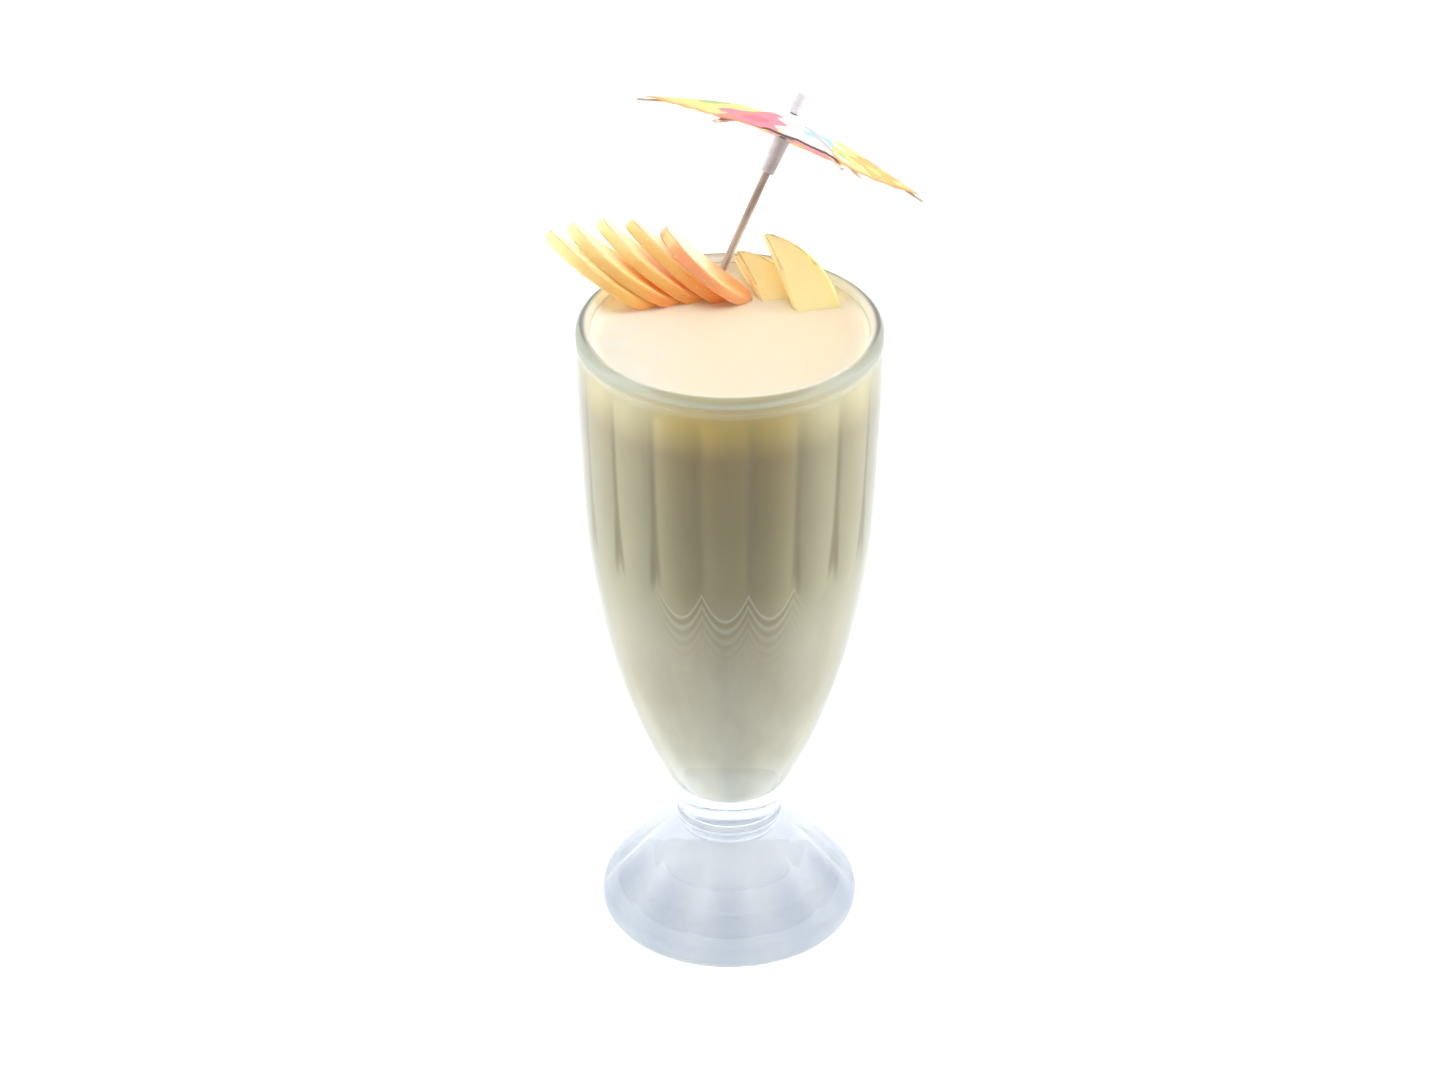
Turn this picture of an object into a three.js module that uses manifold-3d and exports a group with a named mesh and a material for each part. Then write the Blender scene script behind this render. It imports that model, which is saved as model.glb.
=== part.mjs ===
// Fruit juice in a footed fountain glass, with eight half-moon fruit slices and a paper parasol.
// Millimetres, +Z up. The origin is the middle of the glass's foot, on the surface it stands on.
// +X is the glass's right, seen from the front, and +Y points to the back.

import * as THREE from 'three';
import { mergeVertices } from 'three/addons/utils/BufferGeometryUtils.js';
import Module from 'manifold-3d';

const wasm = await Module();
wasm.setup();

// Gap between neighbouring pieces, and the steps round the axis that the glass and the juice share.
const GAP = 0.3;
const TURN_STEPS = 90;

// Glass: a thick rim, a fluted bowl, a ringed neck and a bell foot with broad petals.
const GLASS_HEIGHT = 180;
const RIM_RADIUS = 39.55;
const RIM_WALL = 3.7;
const RIM_STEPS = 5;
const FOOT_RADIUS = 34.5;
const FOOT_STAND_RADIUS = 31.6;
const FOOT_CHAMFER = [33.3, 0.7];
const FOOT_EDGE_LOW = 2.4;
const FOOT_EDGE_HIGH = 5.6;
const FOOT_BELL = [[31.4, 10], [26.4, 16], [21.3, 22], [17.6, 24.9], [14.6, 26.5]];
const NECK_RADIUS = 13.4;
const NECK_RING_RADIUS = 14.3;
const NECK_RING_BOTTOM = 27.4;
const NECK_RING_TOP = 32.4;
const NECK_RING_ROUND = 0.2;
const NECK_RING_SHOULDER = 1.1;
const BOWL_OUTSIDE = [
  [14.0, 33.2], [16.9, 44], [24.6, 62], [31.8, 86],
  [36.9, 116], [38.85, 150], [39.5, 172],
];
const BOWL_INSIDE = [
  [8.4, 43.2], [11.9, 49.6], [17.6, 60.4], [24.6, 77],
  [30.1, 98], [32.9, 118], [34.7, 146], [35.7, 174],
];
const BOWL_STEPS = 8;
const CAVITY_STEPS = 12;
const CAVITY_FLOOR = 39.8;
const CAVITY_FLOOR_EDGE = [5.0, 40.4];

// Flutes run down the inside of the bowl and end in scallops. Petals run down the foot.
const FLUTES = 18;
const FLUTE_DEPTH = 0.8;
const FLUTE_RIDGE_AT = THREE.MathUtils.degToRad(8);
const FLUTES_TOP = 174;
const FLUTES_FADE_IN = 6;
const SCALLOP_TOP = 121;
const SCALLOP_BOTTOM = 112;
const PETALS = 10;
const PETAL_GROOVE = 0.7;
const PETAL_GROOVE_AT = THREE.MathUtils.degToRad(16);
const PETALS_BOTTOM = 4;
const PETALS_TOP = 26.5;
const PETALS_FADE_IN = 4;

// Juice, filled to just under the rim. Its side follows the wall up to its last ring.
const JUICE_LEVEL = 176.5;
const JUICE_LAST_RING = 172;
const JUICE_GAP = 0.5;

// Fruit slices: circular segments with one straight cut edge and one arc of peel.
const SLICE_THICKNESS = 3.2;
const SLICE_EDGE = 0.5;
const SLICE_HALF_STEPS = 7;
// The garnish stands in a frame that leans back from the level surface of the juice.
const GARNISH_TILT = THREE.MathUtils.degToRad(31.8);
// Each slice's tip across, back and up in the leaning frame, and the chord and the bulge of its arc. In
// degrees, the fall of the chord, its yaw to the back as it goes down, and where its peel is turned
// about the chord: 90 up, 180 to the front.
const FAN_SLICES = [
  { across: -47.8, back: 8.8, up: 27.7, chord: 38.1, bulge: 9.6, fall: 34.0, yaw: 13.3, peel: 198.7 },
  { across: -42.2, back: 12.6, up: 29.8, chord: 39.2, bulge: 12.2, fall: 34.6, yaw: 12.2, peel: 198.9 },
  { across: -34.5, back: 14.8, up: 31.2, chord: 38.6, bulge: 12.2, fall: 36.8, yaw: 12.8, peel: 197.1 },
  { across: -26.9, back: 15.0, up: 30.9, chord: 40.2, bulge: 11.6, fall: 37.6, yaw: 15.5, peel: 196.2 },
  { across: -17.8, back: 13.7, up: 28.7, chord: 32.5, bulge: 12.1, fall: 37.8, yaw: 14.5, peel: 198.2 },
];
const UPRIGHT_SLICES = [
  { across: 8.1, back: 12.0, up: 27.4, chord: 42, bulge: 12, fall: 67.4, yaw: 0, peel: 78 },
  { across: 0.9, back: 17.0, up: 23.2, chord: 41, bulge: 11.7, fall: 63.0, yaw: 0, peel: 78 },
  { across: 0.4, back: 23.0, up: 22.2, chord: 40, bulge: 11.4, fall: 60.0, yaw: 0, peel: 78 },
];

// Paper parasol, measured from the peak of its canopy along its pick.
const PARASOL_PEAK = { across: 16.7, back: 22, up: 58.7 };
const PARASOL_LEAN = THREE.MathUtils.degToRad(24.7);
const PARASOL_FORWARD = THREE.MathUtils.degToRad(5);
const PICK_RADIUS = 1;
const PICK_LENGTH = 100;
const PICK_ABOVE_PEAK = 4.8;
const PICK_POINT = 6;
const PICK_POINT_RADIUS = 0.3;
const PICK_SIDES = 12;
const CAP_RADIUS = 1.85;
const CAP_HEIGHT = 5.8;
const CANOPY_RADIUS = 38.9;
const CANOPY_THICKNESS = 0.4;
const CANOPY_HOLE = PICK_RADIUS + GAP;
const CANOPY_RINGS = 5;
const CANOPY_PANEL_STEPS = 6;
const CANOPY_BEND = 1.25;
const PANEL_SCALLOP = 0.04;
// Heading of each rib round the pick and its fall below the square-on plane, both in degrees, and how
// far the middle of the panel after it bulges up at the rim.
const RIBS = [
  { heading: -8, fall: 7.8, crown: -0.4 },
  { heading: 54, fall: 9.4, crown: -0.7 },
  { heading: 114, fall: 9.8, crown: 0.6 },
  { heading: 177, fall: 17.6, crown: 0.2 },
  { heading: 243, fall: 12.8, crown: 1.3 },
  { heading: 294, fall: 9.2, crown: -0.9 },
];
const RIB_LENGTH = 40.6;
const RIB_WIDTH = 1.3;
const RIB_HEIGHT = 0.6;
const RIB_STATIONS = 7;
const RIB_CLEARANCE = 0.45;
const HUB_RADIUS = 3.1;
const HUB_HEIGHT = 2;
const RUNNER_TOP = -5.1;
const RUNNER_HEIGHT = 1.5;
const STRUT_REACH = 0.42;
const STRUT_FOOT_DROP = 0.4;
const STRUT_WIDTH = 1;
const STRUT_HEIGHT = 0.5;
const SLEEVE_LENGTH = 9.9;
const SLEEVE_TOP_RADIUS = 2.2;
const SLEEVE_BOTTOM_RADIUS = 1.8;
const ROUND_SIDES = 16;

// How near two points count as one, and the least radius that is not on the axis.
const JOIN_WITHIN = 1e-4;
const ON_AXIS = 1e-6;

const MATERIALS = {
  glass: new THREE.MeshStandardMaterial({
    color: 0xe1e9ee,
    roughness: 0.05,
    transparent: true,
    opacity: 0.35,
  }),
  juice: new THREE.MeshStandardMaterial({ color: 0xf5ecd4, roughness: 0.45 }),
  flesh: new THREE.MeshStandardMaterial({ color: 0xfbe6b0, roughness: 0.4 }),
  peel: new THREE.MeshStandardMaterial({ color: 0xf3a860, roughness: 0.35 }),
  paper: new THREE.MeshStandardMaterial({ color: 0xf7d88c, roughness: 0.9 }),
  plainPaper: new THREE.MeshStandardMaterial({ color: 0xcfc6c4, roughness: 0.9 }),
  wood: new THREE.MeshStandardMaterial({ color: 0xbfa48a, roughness: 0.7 }),
};

// A geometry with only its positions, its shared corners joined and its flat triangles dropped.
function joined(geometry) {
  const bare = geometry.index ? geometry.clone() : geometry;
  for (const name of Object.keys(bare.attributes)) {
    if (name !== 'position') bare.deleteAttribute(name);
  }
  const merged = mergeVertices(bare, JOIN_WITHIN);
  const kept = [];
  const corners = merged.index.array;
  for (let i = 0; i < corners.length; i += 3) {
    const [a, b, c] = corners.slice(i, i + 3);
    if (a !== b && b !== c && a !== c) kept.push(a, b, c);
  }
  merged.setIndex(kept);
  return merged;
}

function solidOf(geometry) {
  const mesh = new wasm.Mesh({
    numProp: 3,
    vertProperties: new Float32Array(geometry.attributes.position.array),
    triVerts: new Uint32Array(geometry.index.array),
  });
  return new wasm.Manifold(mesh);
}

function geometryOf(solid) {
  const mesh = solid.getMesh();
  const geometry = new THREE.BufferGeometry();
  geometry.setAttribute('position', new THREE.BufferAttribute(mesh.vertProperties, 3));
  geometry.setIndex(new THREE.BufferAttribute(mesh.triVerts, 1));
  return geometry;
}

// A closed profile of [radius, height] points, turned round +Z. Turns start at the front and go right.
function turned(profile, sides) {
  const points = profile.map(([radius, height]) => new THREE.Vector2(radius, height));
  const geometry = new THREE.LatheGeometry(points, sides, FLUTE_RIDGE_AT);
  geometry.rotateX(Math.PI / 2);
  return geometry;
}

function smoothstep(low, high, value) {
  return THREE.MathUtils.smoothstep(value, low, high);
}

function splinePoints(knots, steps) {
  const curve = new THREE.SplineCurve(knots.map(([radius, height]) => new THREE.Vector2(radius, height)));
  return curve.getPoints(steps).map((point) => point.toArray());
}

function arcPoints(radius, height, size, from, to, steps) {
  return Array.from({ length: steps + 1 }, (_, i) => {
    const angle = THREE.MathUtils.degToRad(from + ((to - from) * i) / steps);
    return [radius + size * Math.cos(angle), height + size * Math.sin(angle)];
  });
}

// Inside of the bowl, from the middle of its floor up to just under the rim.
function cavityProfile() {
  return [[0, CAVITY_FLOOR], CAVITY_FLOOR_EDGE, ...splinePoints(BOWL_INSIDE, CAVITY_STEPS)];
}

// Place of a turn within one of a number of equal sectors: -1 and 1 at its sides, 0 at its middle.
function placeInSector(turn, start, sectors) {
  const place = THREE.MathUtils.euclideanModulo(((turn - start) * sectors) / (2 * Math.PI), 1);
  return 2 * place - 1;
}

// How far a flute is cut into the wall, for a turn from the front and a height.
function fluteDepth(turn, height) {
  const across = 1 - placeInSector(turn, FLUTE_RIDGE_AT, FLUTES) ** 2;
  const scallop = smoothstep(SCALLOP_BOTTOM, SCALLOP_TOP, height);
  const top = 1 - smoothstep(FLUTES_TOP - FLUTES_FADE_IN, FLUTES_TOP, height);
  return FLUTE_DEPTH * Math.max(0, across - (1 - scallop)) * top;
}

// How far a groove between two petals is cut into the foot.
function petalDepth(turn, height) {
  const groove = Math.abs(placeInSector(turn, PETAL_GROOVE_AT, PETALS)) ** 3;
  const bottom = smoothstep(PETALS_BOTTOM, PETALS_BOTTOM + PETALS_FADE_IN, height);
  const top = 1 - smoothstep(PETALS_TOP - PETALS_FADE_IN, PETALS_TOP, height);
  return PETAL_GROOVE * groove * bottom * top;
}

// Moves every point of a turned shape away from the axis by a function of its turn, height and radius.
function reshaped(geometry, change) {
  const places = geometry.attributes.position;
  for (let i = 0; i < places.count; i += 1) {
    const [x, y, z] = [places.getX(i), places.getY(i), places.getZ(i)];
    const radius = Math.hypot(x, y);
    if (radius < ON_AXIS) continue;
    const grown = (radius + change(Math.atan2(x, -y), z, radius)) / radius;
    places.setXYZ(i, x * grown, y * grown, z);
  }
  return geometry;
}

function cavityRadiusAt(height) {
  const profile = cavityProfile();
  const above = profile.findIndex((point) => point[1] >= height);
  if (above < 0) return profile.at(-1)[0];
  const [low, high] = [profile[above - 1], profile[above]];
  return THREE.MathUtils.mapLinear(height, low[1], high[1], low[0], high[0]);
}

function glassGeometry() {
  const rimSize = RIM_WALL / 2;
  const outside = [
    [0, 0],
    [FOOT_STAND_RADIUS, 0],
    FOOT_CHAMFER,
    [FOOT_RADIUS, FOOT_EDGE_LOW],
    [FOOT_RADIUS, FOOT_EDGE_HIGH],
    ...FOOT_BELL,
    [NECK_RADIUS, NECK_RING_BOTTOM],
    [NECK_RING_RADIUS - NECK_RING_ROUND, NECK_RING_BOTTOM + NECK_RING_SHOULDER],
    [NECK_RING_RADIUS, (NECK_RING_BOTTOM + NECK_RING_TOP) / 2],
    [NECK_RING_RADIUS - NECK_RING_ROUND, NECK_RING_TOP - NECK_RING_SHOULDER],
    [NECK_RADIUS, NECK_RING_TOP],
    ...splinePoints(BOWL_OUTSIDE, BOWL_STEPS),
  ];
  const rim = arcPoints(RIM_RADIUS - rimSize, GLASS_HEIGHT - rimSize, rimSize, 0, 180, RIM_STEPS);
  const inside = cavityProfile().reverse();
  const geometry = turned([...outside, ...rim, ...inside], TURN_STEPS);
  reshaped(geometry, (turn, height, radius) => {
    if (height < NECK_RING_BOTTOM) return -petalDepth(turn, height);
    const isInside = height > CAVITY_FLOOR && radius < cavityRadiusAt(height) + GAP;
    return isInside ? fluteDepth(turn, height) : 0;
  });
  return joined(geometry);
}

// The cavity's shape up to the juice's level, drawn in by a gap, less what is sunk in it.
function juiceGeometry(cutters) {
  const rings = cavityProfile().filter(([, height]) => height < JUICE_LAST_RING);
  const wall = rings.slice(2).map(([radius, height]) => [radius - JUICE_GAP, height]);
  const [edgeRadius, edgeHeight] = CAVITY_FLOOR_EDGE;
  const profile = [
    [0, CAVITY_FLOOR + GAP],
    [edgeRadius - GAP, edgeHeight + GAP],
    ...wall,
    [cavityRadiusAt(JUICE_LEVEL) - JUICE_GAP, JUICE_LEVEL],
    [0, JUICE_LEVEL],
  ];
  const geometry = turned(profile, TURN_STEPS);
  reshaped(geometry, (turn, height) => fluteDepth(turn, height));
  const body = solidOf(joined(geometry));
  return geometryOf(cutters.reduce((left, cutter) => left.subtract(cutter), body));
}

// A half-moon slab: its tips at the origin and along +X, its peel bulging to +Y, its faces square to Z.
// Grown by a gap, it is what the juice leaves free for it.
function sliceGeometry(chord, bulge, grown = 0) {
  const radius = (chord ** 2 / 4 + bulge ** 2) / (2 * bulge);
  const inset = SLICE_EDGE - grown;
  const half = Math.acos((radius - bulge + inset) / (radius - inset));
  const outline = new THREE.Shape();
  outline.absarc(chord / 2, bulge - radius, radius - inset, Math.PI / 2 - half, Math.PI / 2 + half);
  const depth = SLICE_THICKNESS - 2 * inset;
  const geometry = new THREE.ExtrudeGeometry(outline, {
    depth,
    bevelThickness: SLICE_EDGE,
    bevelSize: SLICE_EDGE,
    bevelSegments: 1,
    curveSegments: SLICE_HALF_STEPS,
  });
  geometry.translate(0, 0, -depth / 2);
  return joined(geometry);
}

// The leaning frame of the garnish: across, back and up, from the middle of the juice's surface.
const garnish = new THREE.Group();
garnish.position.set(0, 0, JUICE_LEVEL);
garnish.rotation.x = -GARNISH_TILT;

// A holder for one slice, its X along the slice's chord and its Y where the peel bulges.
function placeSlice({ across, back, up, fall, yaw, peel }) {
  const [x, y, z] = [peel, fall, yaw].map(THREE.MathUtils.degToRad);
  const holder = new THREE.Group();
  holder.position.set(across, back, up);
  holder.rotation.set(x, y, z, 'YZX');
  garnish.add(holder);
  return holder;
}

const cutters = [];

function addCutter(holder, geometry) {
  garnish.updateMatrixWorld(true);
  cutters.push(solidOf(joined(geometry.clone().applyMatrix4(holder.matrixWorld))));
}

function addSlices(slices, name, material) {
  slices.forEach((item, i) => {
    const holder = placeSlice(item);
    const slice = new THREE.Mesh(sliceGeometry(item.chord, item.bulge), material);
    slice.name = `${name}_${i + 1}`;
    holder.add(slice);
    addCutter(holder, sliceGeometry(item.chord, item.bulge, GAP));
  });
}

addSlices(FAN_SLICES, 'fan_slice', MATERIALS.peel);
addSlices(UPRIGHT_SLICES, 'upright_slice', MATERIALS.flesh);

// The parasol's own frame: +Z up its pick, +X to the lower right, +Y to the back.
const parasol = new THREE.Group();
parasol.position.set(PARASOL_PEAK.across, PARASOL_PEAK.back, PARASOL_PEAK.up);
parasol.rotation.set(PARASOL_FORWARD, PARASOL_LEAN, 0);
garnish.add(parasol);

function addParasolPiece(name, geometry, material, heading = 0) {
  const mesh = new THREE.Mesh(joined(geometry), material);
  mesh.name = name;
  mesh.rotation.z = THREE.MathUtils.degToRad(heading);
  parasol.add(mesh);
}

function pickProfile(grown = 0) {
  const radius = PICK_RADIUS + grown;
  const top = PICK_ABOVE_PEAK + grown;
  const bottom = PICK_ABOVE_PEAK - PICK_LENGTH - grown;
  const point = [PICK_POINT_RADIUS + grown, bottom];
  return [[0, bottom], point, [radius, bottom + PICK_POINT], [radius, top], [0, top]];
}

// A closed ring round the pick, with a radius of its own at its low and its high end.
function ringGeometry(lowRadius, highRadius, low, high) {
  const profile = [[CANOPY_HOLE, low], [lowRadius, low], [highRadius, high], [CANOPY_HOLE, high]];
  return turned([...profile, profile[0]], ROUND_SIDES);
}

// A cup over the top end of the pick.
function capGeometry() {
  const roof = PICK_ABOVE_PEAK + GAP;
  const outer = [[CANOPY_HOLE, GAP], [CAP_RADIUS, GAP], [CAP_RADIUS, CAP_HEIGHT], [0, CAP_HEIGHT]];
  const inner = [[0, roof], [CANOPY_HOLE, roof]];
  return turned([...outer, ...inner, outer[0]], ROUND_SIDES);
}

function ribRun(rib) {
  return CANOPY_RADIUS * Math.cos(THREE.MathUtils.degToRad(rib.fall));
}

// Fall of the canopy's paper along a rib, at a share of its length.
function ribFall(rib, share) {
  return -CANOPY_RADIUS * Math.sin(THREE.MathUtils.degToRad(rib.fall)) * share ** CANOPY_BEND;
}

function ribTip(rib) {
  const heading = THREE.MathUtils.degToRad(rib.heading);
  return new THREE.Vector2(Math.cos(heading), Math.sin(heading)).multiplyScalar(ribRun(rib));
}

// Place of a point of the canopy: its step round the pick, its share of the way out, its top or bottom.
function canopyPoint(step, share, layer) {
  const panel = Math.floor(step / CANOPY_PANEL_STEPS);
  const across = (step % CANOPY_PANEL_STEPS) / CANOPY_PANEL_STEPS;
  const [first, second] = [RIBS[panel], RIBS[(panel + 1) % RIBS.length]];
  const middle = 4 * across * (1 - across);
  const flat = ribTip(first).lerp(ribTip(second), across);
  const scalloped = share * (1 - PANEL_SCALLOP * middle * share);
  const reach = share <= CANOPY_HOLE / CANOPY_RADIUS ? CANOPY_HOLE / flat.length() : scalloped;
  const fall = THREE.MathUtils.lerp(ribFall(first, share), ribFall(second, share), across);
  const height = fall + first.crown * middle * share ** 2 - CANOPY_THICKNESS * (1 - layer);
  return [flat.x * reach, flat.y * reach, height];
}

// One sheet of paper over six ribs, crowned and scalloped between them, with a hole for the pick.
function canopyGeometry() {
  const shares = Array.from({ length: CANOPY_RINGS + 1 }, (_, i) => {
    return THREE.MathUtils.lerp(CANOPY_HOLE / CANOPY_RADIUS, 1, i / CANOPY_RINGS);
  });
  const under = shares.map((share) => [share, 0]);
  const over = shares.map((share) => [share, 1]).reverse();
  const points = [...under, ...over, under[0]].map(([share, layer]) => new THREE.Vector2(share, layer));
  const steps = RIBS.length * CANOPY_PANEL_STEPS;
  const geometry = new THREE.LatheGeometry(points, steps);
  const places = geometry.attributes.position;
  for (let i = 0; i < places.count; i += 1) {
    const step = Math.floor(i / points.length) % steps;
    const { x: share, y: layer } = points[i % points.length];
    places.setXYZ(i, ...canopyPoint(step, share, layer));
  }
  return geometry;
}

// A strip in the plane of its rib, given by the heights of its top along its run, extruded to its width.
function stripGeometry(stations, thickness, width) {
  const under = stations.map(([out, height]) => [out, height - thickness]).reverse();
  const outline = [...stations, ...under].map(([out, height]) => new THREE.Vector2(out, height));
  const shape = new THREE.Shape(outline);
  const geometry = new THREE.ExtrudeGeometry(shape, { depth: width, bevelEnabled: false });
  geometry.translate(0, 0, -width / 2);
  geometry.rotateX(Math.PI / 2);
  return geometry;
}

function ribGeometry(rib) {
  const start = (HUB_RADIUS + GAP) / ribRun(rib);
  const stations = Array.from({ length: RIB_STATIONS }, (_, i) => {
    const share = THREE.MathUtils.lerp(start, RIB_LENGTH / CANOPY_RADIUS, i / (RIB_STATIONS - 1));
    return [ribRun(rib) * share, ribFall(rib, share) - CANOPY_THICKNESS - RIB_CLEARANCE];
  });
  return stripGeometry(stations, RIB_HEIGHT, RIB_WIDTH);
}

function strutGeometry(rib) {
  const end = ribFall(rib, STRUT_REACH) - CANOPY_THICKNESS - RIB_CLEARANCE - RIB_HEIGHT - RIB_CLEARANCE;
  const stations = [[HUB_RADIUS + GAP, RUNNER_TOP - STRUT_FOOT_DROP], [ribRun(rib) * STRUT_REACH, end]];
  return stripGeometry(stations, STRUT_HEIGHT, STRUT_WIDTH);
}

addParasolPiece('parasol_pick', turned(pickProfile(), PICK_SIDES), MATERIALS.wood);
addCutter(parasol, turned(pickProfile(GAP), PICK_SIDES));
addParasolPiece('parasol_cap', capGeometry(), MATERIALS.plainPaper);
addParasolPiece('parasol_canopy', canopyGeometry(), MATERIALS.paper);

const lowestAtHub = Math.min(...RIBS.map((rib) => ribFall(rib, HUB_RADIUS / CANOPY_RADIUS)));
const hubTop = lowestAtHub - CANOPY_THICKNESS - RIB_CLEARANCE;
const hub = ringGeometry(HUB_RADIUS, HUB_RADIUS, hubTop - HUB_HEIGHT, hubTop);
addParasolPiece('parasol_hub', hub, MATERIALS.wood);

const runnerBottom = RUNNER_TOP - RUNNER_HEIGHT;
const runner = ringGeometry(HUB_RADIUS, HUB_RADIUS, runnerBottom, RUNNER_TOP);
addParasolPiece('parasol_runner', runner, MATERIALS.wood);

const sleeveTop = runnerBottom - GAP;
const sleeve = ringGeometry(SLEEVE_BOTTOM_RADIUS, SLEEVE_TOP_RADIUS, sleeveTop - SLEEVE_LENGTH, sleeveTop);
addParasolPiece('parasol_sleeve', sleeve, MATERIALS.plainPaper);

RIBS.forEach((rib, i) => {
  addParasolPiece(`parasol_rib_${i + 1}`, ribGeometry(rib), MATERIALS.wood, rib.heading);
  addParasolPiece(`parasol_strut_${i + 1}`, strutGeometry(rib), MATERIALS.wood, rib.heading);
});

const glass = new THREE.Mesh(glassGeometry(), MATERIALS.glass);
glass.name = 'glass';
const juice = new THREE.Mesh(juiceGeometry(cutters), MATERIALS.juice);
juice.name = 'juice';

const drink = new THREE.Group();
drink.add(glass, juice, garnish);

export default drink;
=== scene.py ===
"""Fruit juice in a footed fountain glass, with half-moon fruit slices and a paper parasol.

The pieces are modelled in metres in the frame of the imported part: +Z up, +X to the right and +Y to
the back. Driving sizes are in millimetres, as in the part's source.
"""
import logging
import math
from collections.abc import Callable, Sequence
from dataclasses import dataclass, field
from enum import Enum

import bmesh
import bpy
import numpy as np
from mathutils import Matrix, Vector, noise
from mathutils.geometry import interpolate_bezier


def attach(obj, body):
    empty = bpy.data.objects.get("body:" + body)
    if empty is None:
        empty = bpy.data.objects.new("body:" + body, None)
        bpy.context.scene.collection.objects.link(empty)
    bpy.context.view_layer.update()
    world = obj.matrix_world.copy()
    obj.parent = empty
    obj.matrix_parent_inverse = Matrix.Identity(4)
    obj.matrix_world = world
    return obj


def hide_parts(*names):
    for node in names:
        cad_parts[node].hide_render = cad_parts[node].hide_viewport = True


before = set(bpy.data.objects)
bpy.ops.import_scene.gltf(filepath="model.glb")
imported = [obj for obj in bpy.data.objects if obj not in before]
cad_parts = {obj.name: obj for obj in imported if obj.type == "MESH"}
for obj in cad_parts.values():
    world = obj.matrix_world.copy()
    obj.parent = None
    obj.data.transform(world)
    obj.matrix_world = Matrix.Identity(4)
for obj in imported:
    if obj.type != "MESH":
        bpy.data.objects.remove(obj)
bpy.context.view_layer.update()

MM = 0.001
FULL_TURN = 2 * math.pi
BODY = "root"
NOISE_SEED = 5
LOG = logging.getLogger("juice")

Point2 = tuple[float, float]
Span = tuple[float, float]
Colour = tuple[float, float, float, float]
Stops = tuple[tuple[float, Colour], ...]

BLACK: Colour = (0.0, 0.0, 0.0, 1.0)


def srgb(red: int, green: int, blue: int) -> Colour:
    """Turns a colour as a screen shows it into the linear one that shaders use.

    Args:
        red: red, 0 to 255.
        green: green, 0 to 255.
        blue: blue, 0 to 255.

    Returns:
        The linear colour, opaque.
    """
    def linear(level: int) -> float:
        """Linear value of one channel."""
        share = level / 255
        return share / 12.92 if share <= 0.04045 else ((share + 0.055) / 1.055) ** 2.4

    return linear(red), linear(green), linear(blue), 1.0


def stops(*rows: tuple[float, int, int, int]) -> Stops:
    """A colour ramp's stops, from rows of place, red, green and blue."""
    return tuple((place, srgb(*colour)) for place, *colour in rows)


def smoothstep(low: float, high: float, value: float) -> float:
    """Eases from 0 at low to 1 at high."""
    share = min(1.0, max(0.0, (value - low) / (high - low)))
    return share * share * (3 - 2 * share)


# Shaders


class Value:
    """A number or colour that comes out of a shader node, with Python's arithmetic."""

    def __init__(self, graph: "Graph", socket: bpy.types.NodeSocket) -> None:
        """Wraps an output socket of a material's node."""
        self.graph = graph
        self.socket = socket

    def __add__(self, other: "Value | float") -> "Value":
        """Adds."""
        return self.graph.math("ADD", self, other)

    def __radd__(self, other: float) -> "Value":
        """Adds to a plain number."""
        return self.graph.math("ADD", other, self)

    def __sub__(self, other: "Value | float") -> "Value":
        """Takes away."""
        return self.graph.math("SUBTRACT", self, other)

    def __rsub__(self, other: float) -> "Value":
        """Takes away from a plain number."""
        return self.graph.math("SUBTRACT", other, self)

    def __mul__(self, other: "Value | float") -> "Value":
        """Multiplies."""
        return self.graph.math("MULTIPLY", self, other)

    def __rmul__(self, other: float) -> "Value":
        """Multiplies a plain number."""
        return self.graph.math("MULTIPLY", other, self)


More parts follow.
